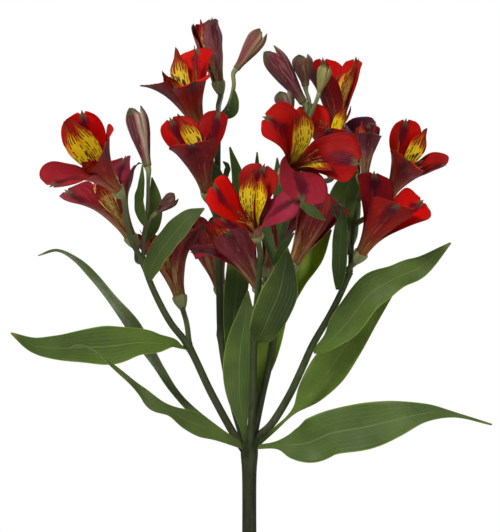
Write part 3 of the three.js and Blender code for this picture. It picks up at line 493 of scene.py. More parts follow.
SHOOTS = shoot_tree()
forks = np.array([b["stalk"][0] for b in BLOOMS + BUDS] + [(0, 0, 0)], float)
shoots = [shoot([(0, 0, z) for z in STEM_HEIGHTS], STEM_RADII, (0, 0.08), 12)]
shoots += [shoot(ray, RAY_RADII, (0.12, 0.5)) for ray in RAYS.values()]
shoots += [shoot(twig, TWIG_RADII, (0.45, 0.6)) for twig in TWIGS]
ovaries = []
for bloom in BLOOMS:
    forward = axes(bloom["aim"], bloom["top"])[2]
    neck, mid, brim = (np.array(bloom["at"]) + forward * h * OVARY_LENGTH for h in (-1, -0.45, 0))
    shoots.append(shoot([*bloom["stalk"], neck, mid], BLOOM_STALK_RADII, (0.5, 0.85)))
    rows = [(*(neck - forward), 1.2), (*neck, 1.8), (*mid, 3.3), (*(brim - forward * 0.8), OVARY_RADIUS),
            (*brim, 2.9)]
    line = through(rows, np.linspace(0, 1, 21))
    ovaries.append(np.hstack([line, np.linspace(0.8, 1.0, len(line))[:, None]]))
for bud in BUDS:
    back = np.array(bud["at"]) - unit(np.array(bud["aim"], float)) * 3
    radii = [*BUD_STALK_RADII, bud["wide"] * 0.17]
    shoots.append(shoot([*bud["stalk"], back, bud["at"]], radii, (0.58, 0.95)))
for line in shoots[1:]:
    # A shoot thickens a little where it forks.
    near = np.min(np.linalg.norm(line[:, None, :3] - forks[None], axis=2), axis=1)
    line[:, 3] *= 1 + FORK_SWELL * np.exp(-(near / FORK_REACH) ** 2)
STEM_FINISH = stem_finish()
stem = formed("flower_stem", shoot_lines("shoots", shoots), SHOOTS,
              {"Sides": 24, "Ribs": 7.0, "Rib depth": 0.045, "Finish": STEM_FINISH})
show("flower_stem", stem, "stem", "stem")
ribbed = formed("ovaries", shoot_lines("ovaries", ovaries), SHOOTS,
                {"Sides": 36, "Ribs": 6.0, "Rib depth": 0.12, "Finish": STEM_FINISH})
show("ovaries", ribbed, "stem", "stem")

# Leaves
# Thin pointed blades of green leaf with fine parallel veins and a pale edge. Each grew out of the
# whorl or a ray on a narrow foot, and many have twisted over or curled with age.
# Each has its midrib's points with half the blade's width, the way it faces at its root, middle
# and tip, the screen colours of the face that shows and of its other face, and how waved it is.
LEAVES = {
    "leaf_right_low": dict(wave=0.8, tints=[(84, 104, 50), (104, 118, 74)],
        facing=[(0, -0.9, 0.4), (0.1, -1, 0.25), (0.1, -0.9, 0.4)],
        midrib=[(3.6, -1, 0.8, 1.2), (15.5, -7, 2, 2.6), (23.5, -11, 2.2, 8.2), (31.5, -15, 3.6, 11.4),
                (43, -20, 8.4, 12.1), (60, -26, 11.6, 12.4), (77, -32, 15.8, 9.8), (92, -37, 19, 4.8),
                (106, -40, 18.2, 1.6), (125.2, -43, 13.2, 0.5)]),
    "leaf_right_high": dict(wave=1, tints=[(80, 100, 44), (104, 118, 74)],
        facing=[(-0.4, -0.9, 0.2), (-0.3, -0.9, 0.3), (-0.2, -0.9, 0.3)],
        midrib=[(33.6, -8, 50.4, 1.2), (41, -12, 55, 4.6), (50.4, -15, 65, 8.8), (64, -17, 81.6, 9.5),
                (77.5, -17, 89.4, 7.3), (89.4, -16, 94.8, 5.7), (104.6, -14, 107, 0.5)]),
    "leaf_right_mid": dict(wave=0.5, tints=[(112, 138, 54), (100, 116, 66)],
        facing=[(-0.3, -0.9, 0.2), (-0.2, -0.9, 0.2), (-0.2, -0.9, 0.2)],
        midrib=[(4, 1.5, 1.6, 1.2), (13.5, 5, 10, 1.1), (23.8, 9, 19.6, 1.6), (31.4, 13, 27.8, 7.1),
                (40.4, 17, 39.1, 9.9), (49.4, 21, 51.7, 9.7), (57.6, 25, 63.4, 8.0), (67.6, 28, 74.5, 4.6),
                (77, 30, 83.7, 0.5)]),
    "leaf_left_high": dict(wave=0.6, tints=[(76, 97, 42), (98, 112, 68)],
        facing=[(0, -0.5, 0.8), (0, -0.9, 0.4), (0, -0.9, 0.4)],
        midrib=[(-31.3, -9, 51.5, 1.3), (-35.4, -11, 53, 1.5), (-40, -12, 55, 3.6), (-47.8, -14, 54.8, 6),
                (-57.7, -16, 55.2, 8.2), (-71.2, -18, 53.4, 10.8), (-85.3, -20, 52.8, 9.6),
                (-99.8, -22, 52.4, 6.8), (-111.3, -23, 53.8, 4.4), (-123.2, -24, 60.3, 0.5)]),
    "leaf_left_back": dict(wave=0.4, tints=[(80, 96, 58), (74, 94, 48)],
        facing=[(0.2, -0.9, 0.2), (0.7, -0.6, 0.5), (0.5, -0.4, 0.8)],
        midrib=[(-3, 2, 1, 1.3), (-18.2, 6, 10.4, 2.3), (-30.9, 11, 20.6, 2.5), (-39.9, 16, 30.7, 2.4),
                (-46.6, 21, 40.5, 3.3), (-54.1, 26, 51.8, 5.8), (-62.1, 31, 64.4, 6.2), (-72, 36, 77, 5.2),
                (-81.2, 40, 88.5, 4.2), (-90.7, 43, 97.8, 3), (-100.8, 45, 103, 1.9),
                (-110.7, 46, 100.4, 0.4)]),
    "leaf_left_low": dict(wave=0.6, tints=[(92, 108, 58), (96, 110, 70)],
        facing=[(0.1, -0.9, 0.3), (0.1, -0.9, 0.4), (0.3, 0.4, 0.9)],
        midrib=[(-3, -2, 1, 1.4), (-9, -6, 4, 2.4), (-17.5, -11, 8, 3.8), (-25.5, -16, 12, 6),
                (-33.5, -21, 15.7, 5.4), (-41, -25, 20, 3.2), (-49.5, -30, 23.8, 3.8),
                (-55.6, -33, 29.8, 3.2), (-62.6, -36, 36.6, 2.5), (-72.3, -40, 44.7, 1.8),
                (-80, -43, 50.7, 2.2), (-86.8, -45, 53.6, 2.6), (-92.6, -46, 52.5, 0.5)]),
    "leaf_front_mid": dict(wave=0.3, tints=[(76, 94, 46), (70, 88, 40)],
        facing=[(0, -1, 0), (-0.1, -1, 0), (-0.2, -1, 0.1)],
        midrib=[(-0.5, -1, 1, 1.5), (-3, -3, 12.5, 2.2), (-4.7, -3, 25.5, 6.2), (-5.2, -3, 38.5, 8.3),
                (-4.2, -4, 54, 7.6), (-1.8, -4, 68, 5), (-0.6, -2, 82, 0.5)]),
    # This leaf's first tint is dark with painted shade for its lower part, which lies in shadow behind; it
    # pales toward its tip.
    "leaf_back_mid": dict(wave=0.4, tints=[(44, 58, 24), (56, 74, 32), (118, 152, 74)],
        facing=[(0, -1, 0), (-0.5, -1, 0), (-0.3, -1, 0)],
        midrib=[(-9.8, 9, 41, 1.6), (-7.8, 8, 70, 5.6), (-5, 9, 98, 6.5), (-5, 10, 120, 5.4),
                (-5, 12, 138, 4), (-10, 14, 157, 0.5)]),
    "leaf_front_cup": dict(wave=0.5, tints=[(50, 63, 33), (74, 92, 48)],
        facing=[(0.3, -1, 0), (0.3, -1, 0.1), (0.3, -1, 0.1)],
        midrib=[(2.6, -14.4, 56, 1.5), (6.6, -20, 60.5, 7), (10.8, -25, 70, 9.4), (15.6, -28, 81.5, 9.6),
                (18.2, -30, 93, 6), (19.8, -32, 104.5, 0.5)]),
    "leaf_back_right": dict(wave=0.5, tints=[(122, 150, 16), (98, 120, 40)],
        facing=[(0, -1, 0), (-0.3, -1, 0.1), (-0.4, -1, 0.1)],
        midrib=[(2, 3, 2, 1.3), (3, 12, 22, 1.8), (4.2, 15, 33, 3.4), (6.2, 17, 43, 7),
                (9.6, 20, 56.7, 8.2), (14.2, 24, 71, 7.6), (23.2, 29, 88, 7.6), (34, 30, 101, 6.2),
                (43, 28, 114, 0.5)]),
    "leaf_left_top": dict(wave=0.5, tints=[(76, 92, 46), (94, 108, 64)],
        facing=[(-0.3, -0.9, 0.2), (-0.4, -0.9, 0.3), (-0.4, -0.9, 0.3)],
        midrib=[(-51.5, -20, 87.4, 1.1), (-50.4, -22, 94, 4.7), (-45.2, -25, 103.5, 6.2),
                (-38.3, -27, 112.1, 6.5), (-30.9, -28, 119.9, 4.9), (-23.1, -27, 124.8, 0.5)]),
    "leaf_right_top": dict(wave=0.4, tints=[(74, 96, 40), (90, 108, 60)],
        facing=[(0, -1, 0), (0.1, -1, 0.1), (0.2, -1, 0.1)],
        midrib=[(52.9, -2.5, 104.5, 1.2), (52.8, 16, 111, 4), (50.4, 34, 121, 8), (50, 39, 130, 8.5),
                (53.6, 40, 141, 5), (57.2, 40, 147.7, 0.5)]),
    "leaf_right_bract": dict(wave=0.5, tints=[(60, 80, 38), (74, 92, 48)],
        facing=[(-0.2, -1, 0), (-0.2, -1, 0), (-0.2, -1, 0)],
        midrib=[(46.3, -10, 82.7, 1.3), (46.7, -13, 91, 3.4), (47.2, -15, 103.5, 4.1),
                (47.8, -15, 115, 3.5), (49.4, -14, 124.3, 0.4)]),
}
# Bracts: small leaves at the forks.
BRACTS = [
    ((-0.5, -0.9, 0), [(-53, -15, 115, 1), (-55.8, -16, 121.7, 2.8), (-56.8, -17, 129.5, 2.8),
        (-55.7, -18, 137, 2), (-55.2, -18, 147.6, 0.4)]),
    ((0.2, -1, 0), [(-54, -15, 108, 1), (-50, -11, 115, 3.2), (-48.6, -10, 123, 3.6), (-48.8, -9, 131, 3),
        (-50.4, -8, 141, 0.4)]),
    ((0.2, -1, 0), [(-16, 20, 172, 0.9), (-8.8, 22, 175.3, 2.5), (-7.6, 22, 181.5, 2.2),
        (-8, 22, 187.7, 0.4)]),
    ((-0.4, -1, 0), [(-16.6, 19, 121.7, 1), (-15.5, 14, 134.7, 4.5), (-18, 12, 144, 4),
        (-21.8, 8, 151, 0.5)]),
    ((0.6, -1, 0), [(-16.5, 18, 137, 0.9), (-12.5, 15, 142, 1.8), (-11.4, 14, 147, 1.5),
        (-13.5, 13, 149.5, 0.4)]),
    ((0, -1, 0), [(15.6, 0, 90.5, 1), (9, 8, 112, 3), (4.5, 12, 132, 3), (4.2, 12, 154.4, 0.4)]),
    ((-0.3, -1, 0), [(16.6, -8, 106, 1), (15.6, -6, 130, 3), (15.1, -6, 141, 2.5), (14.6, -6, 151.3, 0.4)]),
    ((-0.4, -0.8, 0.5), [(19.8, -18, 120, 1), (26.5, -22, 128, 2.5), (32.8, -25, 123.2, 2.5),
        (39.5, -28, 118.6, 0.4)]),
    ((0, -1, 0.3), [(15.6, 0, 90.5, 1), (14.5, -12, 99, 1.6), (18.7, -15, 106, 2), (23.4, -16, 112.3, 0.4)]),
]


def blade(grid, thickness, front, back):
    """A thin closed blade about a grid of points, rows from root to tip. Each of its points knows
    how far across (-1 to 1) and along (0 to 1) it lies, which face it is on and its own tint."""
    rows, columns = grid.shape[:2]
    across, along = np.meshgrid(np.linspace(-1, 1, columns), np.linspace(0, 1, rows))
    normal = unit(np.cross(np.gradient(grid, axis=1), np.gradient(grid, axis=0)) + 1e-9)
    half = normal * (thickness / 2 * (1 - 0.55 * np.abs(across) ** 4))[..., None]
    index = np.arange(rows * columns).reshape(rows, columns)
    a, b, c, d = index[:-1, :-1], index[:-1, 1:], index[1:, 1:], index[1:, :-1]
    edge = np.concatenate([index[0, :-1], index[:-1, -1], index[-1, :0:-1], index[:0:-1, 0]])
    after = np.roll(edge, -1)
    under = index.size
    faces = [np.stack([a, b, c, d], -1).reshape(-1, 4), np.stack([a, d, c, b], -1).reshape(-1, 4) + under,
             np.stack([after, edge, edge + under, after + under], -1)]
    tint = np.repeat([colour(*front), colour(*back)], under, axis=0)
    return dict(points=np.concatenate([(grid + half).reshape(-1, 3), (grid - half).reshape(-1, 3)]),
                faces=np.concatenate(faces), across=np.tile(across.ravel(), 2),
                along=np.tile(along.ravel(), 2), face=np.repeat([1.0, 0.0], under), tint=tint)


def blades_mesh(name, blades, finish):
    """One mesh of several blades, in metres."""
    starts = np.cumsum([0] + [len(b["points"]) for b in blades])
    points = np.concatenate([b["points"] for b in blades])
    faces = np.concatenate([b["faces"] + start for b, start in zip(blades, starts)])
    mesh = bpy.data.meshes.new(name)
    mesh.from_pydata(((points + (0, 0, WHORL)) * MM).tolist(), [], faces.tolist())
    for label in ("across", "along", "face"):
        values = np.concatenate([b[label] for b in blades])
        mesh.attributes.new(label, "FLOAT", "POINT").data.foreach_set("value", values)
    tints = np.concatenate([b["tint"] for b in blades])
    mesh.attributes.new("tint", "FLOAT_COLOR", "POINT").data.foreach_set("color", tints.ravel())
    mesh.materials.append(finish)
    mesh.shade_smooth()
    return mesh


def leaf_blade(midrib, facing, tints, wave, seed, rows=72, columns=15):
    """A leaf about its midrib: its halves rise a little from the rib and its margins wave. A third
    tint, where there is one, is the tip's."""
    steps = np.linspace(0, 1, rows)
    line = through(midrib, steps)
    centre, half = line[:, :3], np.maximum(line[:, 3], 0.3)
    tangent = unit(np.gradient(centre, axis=0))
    look = np.stack([np.interp(steps, np.linspace(0, 1, len(facing)), part) for part in zip(*facing)], 1)
    sideways = unit(np.cross(tangent, look))
    raised = np.cross(sideways, tangent)
    across = np.linspace(-1, 1, columns)
    lift = 0.16 * half[:, None] * np.abs(across) ** 1.5
    ripple = np.sin(2 * math.pi * (4.3 * steps[:, None] + 0.17 * seed + 0.2 * np.sign(across)))
    lift = lift + wave * ripple * np.abs(across) ** 2.5 * np.sin(math.pi * steps)[:, None]
    out = sideways[:, None] * (half[:, None] * across)[..., None]
    made = blade(centre[:, None] + out + raised[:, None] * lift[..., None], LEAF_THICKNESS, *tints[:2])
    if len(tints) > 2:
        toward_tip = made["along"][:, None] ** 2
        made["tint"] = made["tint"] * (1 - toward_tip) + np.array(colour(*tints[2])) * toward_tip
    return made


def veins_group():
    """Fine lines that run the length of a blade: 1 on a line and 0 between."""
    tree, given, made = new_tree("lengthwise veins", "ShaderNodeTree", {
        "Count": ("Float", 5), "Width": ("Float", 0.1), "Wander": ("Float", 0.1)})
    across, along = own(tree, "across"), own(tree, "along")
    drift = add(tree, "ShaderNodeCombineXYZ", {0: times(tree, across, 1.5), 1: times(tree, along, 5.0)})
    noise = add(tree, "ShaderNodeTexNoise", {"Vector": drift, "Scale": 1.0, "Detail": 1.0}).outputs[0]
    lane = times(tree, across, given["Count"])
    lane = times(tree, maths(tree, "SUBTRACT", noise, 0.5), given["Wander"], lane)
    tree.links.new(faded(tree, maths(tree, "PINGPONG", lane, 0.5), given["Width"], 0.0), made)
    return tree


def veined(tree, count, width, wander=0.3):
    feeds = {"Count": count, "Width": width, "Wander": wander}
    return add(tree, "ShaderNodeGroup", feeds, node_tree=VEINS).outputs["Mask"]


def of_blade(tree):
    """How far across a blade a point lies, how far aside of its middle and how far along, and its tint."""
    across = own(tree, "across")
    return across, maths(tree, "ABSOLUTE", across), own(tree, "along"), own(tree, "tint", "Color")


def leaf_finish():
    finish, tree = new_finish("leaf blade", Subsurface_Weight=0.15, Subsurface_Scale=0.001,
                              Subsurface_Radius=(0.7, 1.0, 0.25), Specular_IOR_Level=0.16)
    aside, along, tint = of_blade(tree)[1:]
    main, fine = veined(tree, 5.0, 0.1), veined(tree, 16.0, 0.35)
    patches = mottled(tree, 55, 0.3, 0.7)
    shown = times(tree, main, times(tree, mottled(tree, 18, 0.4, 0.6), 0.7, 0.3))
    # Dark and pale patches, fine and main veins, the midrib, the pale edge and the dry tip.
    base = layered(
        tree, tint, (patches, 0.4, (44, 64, 20)), (mottled(tree, 24, 0.45, 0.7), 0.35, (112, 136, 46)),
        (fine, 0.18, (44, 66, 20)), (shown, 0.26, (132, 154, 74)),
        (faded(tree, aside, 0.06, 0.0), 0.3, (138, 154, 90)),
        (faded(tree, aside, 0.93, 1.0), 0.7, (144, 164, 62)),
        (faded(tree, along, 0.95, 1.0), 0.6, (150, 130, 62)))
    ridges = times(tree, main, 0.8, times(tree, fine, 0.4))
    return finish_off(finish, base, (patches, 0.38, 0.55), ridges, 0.06)


LEAF_THICKNESS = 0.4
BRACT_TINTS = [(66, 86, 40), (82, 100, 54)]
BRACT_WAVE = 0.3
VEINS = veins_group()
LEAF_FINISH = leaf_finish()
for seed, (name, leaf) in enumerate(LEAVES.items()):
    made = leaf_blade(leaf["midrib"], leaf["facing"], leaf["tints"], leaf["wave"], seed)
    show(name + "_blade", blades_mesh(name, [made], LEAF_FINISH), "leaf", name)
bracts = [leaf_blade(midrib, [look, look], BRACT_TINTS, BRACT_WAVE, seed, 30, 9)
          for seed, (look, midrib) in enumerate(BRACTS)]
show("bracts", blades_mesh("bracts", bracts, LEAF_FINISH), "leaf", "stem")

# Blooms
# Each is a funnel of six soft tepals on the ovary: three broad outer ones, red inside and dull
# outside, and inside them two narrow upper ones side by side and one lower, yellow with dark dashes.
# A tepal has its length, its distance from the axis at the claw, stations with half widths, and
# its lean away from the axis, in degrees, when shut and when open.
OUTER = dict(length=44, claw=3, stations=[0, 0.26, 0.52, 0.74, 0.91, 1],
             widths=[3.5, 5.6, 9.4, 12, 10, 3.4],
             shut=[6, 14, 10, 4, -4, -10], open=[6, 16, 28, 44, 58, 70])
UPPER = dict(length=45, claw=1.7, stations=[0, 0.28, 0.55, 0.76, 0.87, 1],
             widths=[1.1, 1.8, 4.2, 4.8, 2.1, 0.4],
             shut=[2, 10, 8, 2, -4, -8], open=[2, 12, 22, 30, 34, 40])
LOWER = dict(length=40, claw=1.7, stations=[0, 0.28, 0.57, 0.8, 0.9, 1],
             widths=[1.1, 1.6, 3.5, 4.3, 2, 0.4],
             shut=[2, 10, 8, 2, -4, -8], open=[2, 11, 21, 31, 40, 46])
# Tepals: the form, the place round the axis in degrees and, for the upper pair, the side of that.
TEPALS = [(OUTER, 90, 0), (OUTER, 208, 0), (OUTER, 332, 0), (UPPER, 90, 1), (UPPER, 90, -1), (LOWER, 270, 0)]
BESIDE_LIMIT = math.radians(60)
WRAP_LIMIT = math.radians(57)
OUTER_THICKNESS = 0.36
INNER_THICKNESS = 0.3
# Screen colours by age, and a darker red of painted shade: outer tepals outside and inside, inner tepals
# outside and inside.
TINTS = {
    FRESH: [(146, 24, 18), (210, 17, 3), (212, 150, 50), (254, 224, 34)],
    # The darker red below is no age: it is the fresh red painted dark as shade.
    SHADED_RED: [(128, 18, 20), (156, 8, 6), (212, 150, 50), (254, 224, 34)],
    OLDER: [(150, 56, 60), (162, 34, 44), (196, 146, 80), (224, 188, 78)],
    WITHERED: [(134, 72, 82), (84, 26, 44), (120, 76, 56), (140, 104, 60)],
    SHUT: [(146, 90, 94), (156, 34, 42), (190, 140, 88), (212, 176, 80)],
}


def wobble(seed):
    """A repeatable number from -1 to 1 for each seed."""
    x = math.sin(seed * 12.9898) * 43758.5453
    return (x - math.floor(x)) * 2 - 1


def tepal_blade(bloom, number, order):
    """One tepal, rolled about its bloom's axis, with a waved margin and a notched, pointed tip."""
    shape, angle, beside = TEPALS[order]
    seed = number * 10 + order
    bend = (bloom["bends"] + [0] * 3)[order] + 5 * wobble(seed)
    swing = (bloom["turns"] + [0])[order] + 4 * wobble(seed + 0.5)
    size, spread = bloom["size"], bloom["open"]
    broad = (bloom.get("broad", [1] * 3) + [1] * 3)[order]
    # The middle line: its distance from the axis and its height.
    s = np.linspace(0, 1, 225)
    mid = (s[1:] + s[:-1]) / 2
    fifths = np.linspace(0, 1, 6)
    shut, wide = (np.interp(mid, fifths, shape[state]) for state in ("shut", "open"))
    leans = np.radians(shut * (1 - spread) + wide * spread + bend * mid ** 2)
    step = shape["length"] * size / len(mid)
    radius = np.maximum(shape["claw"] + np.cumsum(np.concatenate([[0], step * np.sin(leans)])), 0.5)
    height = 0.2 - 0.7 * np.exp(-40 * s) + np.cumsum(np.concatenate([[0], step * np.cos(leans)]))
    lean = np.interp(s, mid, leans)
    roll = np.maximum(radius * (1.02 + 1.1 * s * s * spread), 2.2)
    knots = [(x, 0, 0, w) for x, w in zip(shape["stations"], shape["widths"])]
    smooth = through(knots, np.linspace(0, 1, 200))
    width = np.interp(s, smooth[:, 0], smooth[:, 3])
    half = np.minimum(width * size * broad, roll * WRAP_LIMIT * (1 + 0.15 * np.clip(1 - s * 10, 0, 1)))
    off = np.minimum(np.arcsin(np.minimum(1, (np.maximum.accumulate(half) + 0.6) / radius)), BESIDE_LIMIT)
    turn = np.radians(angle + swing * s) + beside * off
    # The grid: rows end in a rounded, slightly notched tip with a small point at its middle.
    rows, columns = (40, 19) if shape is OUTER else (36, 11)
    u, v = np.meshgrid(np.linspace(-1, 1, columns), np.linspace(0, 0.997, rows))
    notch = 0.055 if shape is OUTER else 0.0
    share = v - v ** 7 * (0.05 * u * u + notch * np.exp(-(u / 0.3) ** 2) - 0.075 * np.exp(-(u / 0.07) ** 2))
    at = {k: np.interp(share, s, line) for k, line in
          dict(radius=radius, height=height, lean=lean, roll=roll, half=half, turn=turn).items()}
    round_ = u * at["half"] / at["roll"]
    sideways, inward = at["roll"] * np.sin(round_), at["roll"] * (1 - np.cos(round_))
    ripple = np.sin(2 * math.pi * (2.2 * v + 0.31 * seed + 0.25 * np.sign(u))) * np.abs(u) ** 3 * v ** 1.5
    keel = np.exp(-(u / 0.12) ** 2) * (0.5 if shape is OUTER else 0.3)
    worn = 1 if bloom["age"] is FRESH else 1.6
    wave = (1.0 if shape is OUTER else 0.4) * worn
    # Its halves fold toward or away from each other, and its margins roll back, each by its own measure.
    fold = (0.4 + 1.5 * wobble(seed + 0.2)) * np.abs(u) * v ** 3
    rolled = (0.5 + 1.3 * wobble(seed + 0.7)) * np.abs(u) ** 4 * v ** 2
    own_form = (fold + rolled) * worn * (1 if shape is OUTER else 0.4)
    stand = (wave * ripple + own_form) * size + keel * v * (1 - v) * 2 + 0.25 * u * np.clip(1 - 2 * v, 0, 1)
    out = at["radius"] - (inward - stand) * np.cos(at["lean"])
    up = at["height"] + (inward - stand) * np.sin(at["lean"])
    x = np.cos(at["turn"]) * out - np.sin(at["turn"]) * sideways
    y = np.sin(at["turn"]) * out + np.cos(at["turn"]) * sideways
    grid = np.array(bloom["at"]) + np.stack([x, y, up], -1) @ axes(bloom["aim"], bloom["top"])
    if shape is not OUTER:
        return blade(grid, INNER_THICKNESS, *TINTS[bloom["age"]][2:])
    # No two outer tepals have quite the same red: some lean to crimson and some to orange.
    lean_to = np.array((8, -8, -22) if wobble(seed + 0.4) > 0 else (-14, 10, 26)) * abs(wobble(seed + 0.4))
    # A tepal listed in faded takes an older age's tint, or the darker red of painted shade.
    age = bloom.get("faded", {}).get(order, bloom["age"])
    tints = [np.clip(np.array(tint) + lean_to, 2, 255) for tint in TINTS[age][:2]]
    return blade(grid, OUTER_THICKNESS, *tints)


def streaked(tree, across, along, count, low, high):
    """Ragged streaks that run the length of a tepal, and differ from one tepal to the next."""
    drift = times(tree, mottled(tree, 25, 0.3, 0.7), 2.5)
    place = add(tree, "ShaderNodeCombineXYZ", {0: times(tree, across, count), 1: along, 2: drift})
    noise = add(tree, "ShaderNodeTexNoise", {"Vector": place, "Scale": 1.6, "Detail": 3.0})
    return faded(tree, noise, low, high)


def outer_finish(label, worn):
    """Red satin tepals. With age their outsides dry to tan veins, pale streaks and a green-tan foot."""
    finish, tree = new_finish(label, Subsurface_Weight=0.12, Subsurface_Scale=0.001,
                              Subsurface_Radius=(1.0, 0.3, 0.15), Specular_IOR_Level=0.09)
    across, aside, along, tint = of_blade(tree)
    outside = own(tree, "face")
    fine, main = veined(tree, 11.0, 0.35), veined(tree, 4.0, 0.16)
    patches = mottled(tree, 90, 0.35, 0.65)
    blotches = streaked(tree, across, along, 3.0, 0.5, 0.72)
    # A dark streak along the middle widens to a green-brown tip. The outside is duller, its foot green.
    uneven = times(tree, mottled(tree, 150), -0.22, aside)
    streak = times(tree, faded(tree, uneven, 0.26, -0.04), faded(tree, along, 0.3, 0.85))
    tip = times(tree, faded(tree, aside, 0.3, 0.05), faded(tree, along, 0.86, 0.97))
    foot = times(tree, faded(tree, along, 0.4, 0.04), times(tree, main, 0.6, 0.4))
    lined = times(tree, streaked(tree, across, along, 6.0, 0.45, 0.6), faded(tree, along, 0.6, 0.2))
    dull = times(tree, outside, faded(tree, maths(tree, "ADD", aside, patches), 1.3, 0.2))
    pale = times(tree, outside, streaked(tree, across, along, 5.0, 0.56, 0.68))
    base = layered(
        tree, tint, (patches, 0.18, (104, 4, 10)),
        (mottled(tree, 40, 0.45, 0.7), 0.35 - 0.27 * worn, (212, 42, 4)),
        (blotches, 0.14 + 0.36 * worn, (86, 8, 32)), (fine, 0.14, (90, 4, 12)),
        (times(tree, main, faded(tree, along, 0.9, 0.2)), 0.28, (76, 12, 18)),
        (faded(tree, aside, 0.8, 1.0), 0.35, (120, 6, 20)), (streak, 0.85, (66, 12, 30)),
        (tip, 0.85, (104, 98, 66)), (foot, 0.8, (156, 132, 72)), (lined, 0.1 + 0.55 * worn, (188, 162, 96)),
        (dull, 0.4, (92, 38, 40)),
        (times(tree, pale, faded(tree, along, 0.95, 0.3)), 0.25 + 0.4 * worn, (206, 138, 112)))
    creases = streaked(tree, across, along, 3.5, 0.35, 0.65)
    ridges = times(tree, creases, 0.5 + 2.0 * worn, times(tree, fine, 0.5, times(tree, main, 0.5, patches)))
    return finish_off(finish, base, (patches, 0.42, 0.6), ridges, 0.12 + 0.1 * worn)


def dashed(tree, across, along):
    """Dark dashes in lanes along a tepal, long toward the tip and short below, each lane out of step."""
    lane = times(tree, mottled(tree, 60, 0.3, 0.7, (1, 1, 0.4)), 0.9, times(tree, across, 3.1, 0.5))
    lane_number = maths(tree, "FLOOR", lane)
    shift = add(tree, "ShaderNodeTexWhiteNoise", {"W": lane_number}, noise_dimensions="1D").outputs[0]
    run = times(tree, maths(tree, "POWER", along, 0.4), 16.0, times(tree, shift, 7.0))
    cell = add(tree, "ShaderNodeCombineXYZ", {0: lane_number, 1: maths(tree, "FLOOR", run)})
    kept = add(tree, "ShaderNodeTexWhiteNoise", {"Vector": cell}, noise_dimensions="2D").outputs[0]
    # How far a point lies from the middle of its dash, along the lane and beside it.
    ahead, beside = (maths(tree, "ABSOLUTE", maths(tree, "SUBTRACT", maths(tree, "FRACT", place), 0.5))
                     for place in (run, lane))
    dash = times(tree, faded(tree, times(tree, kept, -0.4, ahead), 0.2, 0.1), faded(tree, beside, 0.25, 0.14))
    zone = times(tree, faded(tree, along, 0.22, 0.3), faded(tree, along, 0.96, 0.86))
    return times(tree, times(tree, dash, faded(tree, kept, 0.24, 0.34)), zone)


def inner_finish():
    finish, tree = new_finish("inner tepal", Subsurface_Weight=0.12, Subsurface_Scale=0.001,
                              Subsurface_Radius=(1.0, 0.6, 0.2), Specular_IOR_Level=0.12)
    across, aside, along, tint = of_blade(tree)
    fine = veined(tree, 7.0, 0.3)
    patches = mottled(tree, 120, 0.35, 0.65)
    flushed = times(tree, own(tree, "face"), faded(tree, aside, 0.4, 1.0))
    # The tip is red where the yellow runs out in ragged streaks, then purple, with a green-black point.
    ragged = times(tree, patches, 0.06, times(tree, aside, 0.1, along))
    ragged = times(tree, veined(tree, 5.0, 0.5), 0.1, ragged)
    base = layered(
        tree, tint, (mottled(tree, 60, 0.4, 0.65), 0.3, (240, 206, 104)), (fine, 0.22, (190, 136, 30)),
        (faded(tree, along, 0.3, 0.04), 0.6, (184, 76, 22)),
        (faded(tree, ragged, 0.76, 0.9), 0.55, (226, 84, 12)),
        (faded(tree, ragged, 0.84, 0.94), 0.92, (172, 14, 10)),
        (faded(tree, ragged, 1.0, 1.08), 0.7, (104, 12, 34)), (dashed(tree, across, along), 0.94, (48, 8, 6)),
        (faded(tree, along, 0.955, 0.975), 0.85, (52, 50, 34)), (flushed, 0.6, (150, 50, 38)))
    return finish_off(finish, base, (patches, 0.42, 0.6), times(tree, fine, 0.8, patches), 0.08)


OUTER_FINISHES = {True: outer_finish("outer tepal", 0), False: outer_finish("older outer tepal", 1)}
INNER_FINISH = inner_finish()
for number, bloom in enumerate(BLOOMS):
    name = f"bloom_{number + 1:02d}"
    for layer, orders, finish in (("outer", (0, 1, 2), OUTER_FINISHES[bloom["age"] is FRESH]),
                                  ("inner", (3, 4, 5), INNER_FINISH)):
        tepals = blades_mesh(name, [tepal_blade(bloom, number, k) for k in orders], finish)
        show(f"{name}_{layer}_tepals", tepals, f"{layer}_tepal", f"{name}_{layer}")

# Stamens
# Each bloom holds six thin filaments that droop toward its lower side, and each ends in a small
# oblong anther of brown pollen. They stand loose inside the tepals round the thin style.
STAMEN_REACH = 27
ANTHER_LENGTH = 3.4


def stamen_lines(bloom, number):
    """Lines of a bloom's six filaments, each followed by its anther, and of its style."""
    reach = STAMEN_REACH * bloom["size"]
    droop = reach * 0.22 * bloom["open"]
    frame_of_bloom = axes(bloom["aim"], bloom["top"])
    parts = []
    for k in range(6):
        turn = 2 * math.pi * (k + 0.3 * wobble(number * 7 + k)) / 6
        away = np.array([math.cos(turn), math.sin(turn), 0])
        length = 1 + 0.12 * wobble(number * 11 + k)
        knots = np.array([(0, 0, 0.5), (0, -droop * 0.12, reach * 0.3), (0, -droop * 0.45, reach * 0.65),
                          (0, -droop, reach * length)]) + away * np.array([[1.0], [1.1], [1.3], [2.6]])
        end = knots[-1] + unit(knots[-1] - knots[-2] + away * 1.5) * ANTHER_LENGTH
        parts.append((knots, [0.36, 0.3, 0.24], (0.1, 0.4)))
        parts.append(([knots[-1], (knots[-1] * 2 + end) / 3, (knots[-1] + end * 2) / 3, end],
                      [0.28, 0.6, 0.6, 0.3], (0.9, 1.0)))
    style = [(0, 0, 0.5), (0, -droop * 0.1, reach * 0.3), (0, -droop * 0.36, reach * 0.6),
             (0, -droop * 0.7, reach * 0.84)]
    parts.append((style, [0.5, 0.34, 0.3, 0.42], (0, 0.3)))
    return [shoot(np.array(bloom["at"]) + np.array(points) @ frame_of_bloom, radii, tones, 5)
            for points, radii, tones in parts]


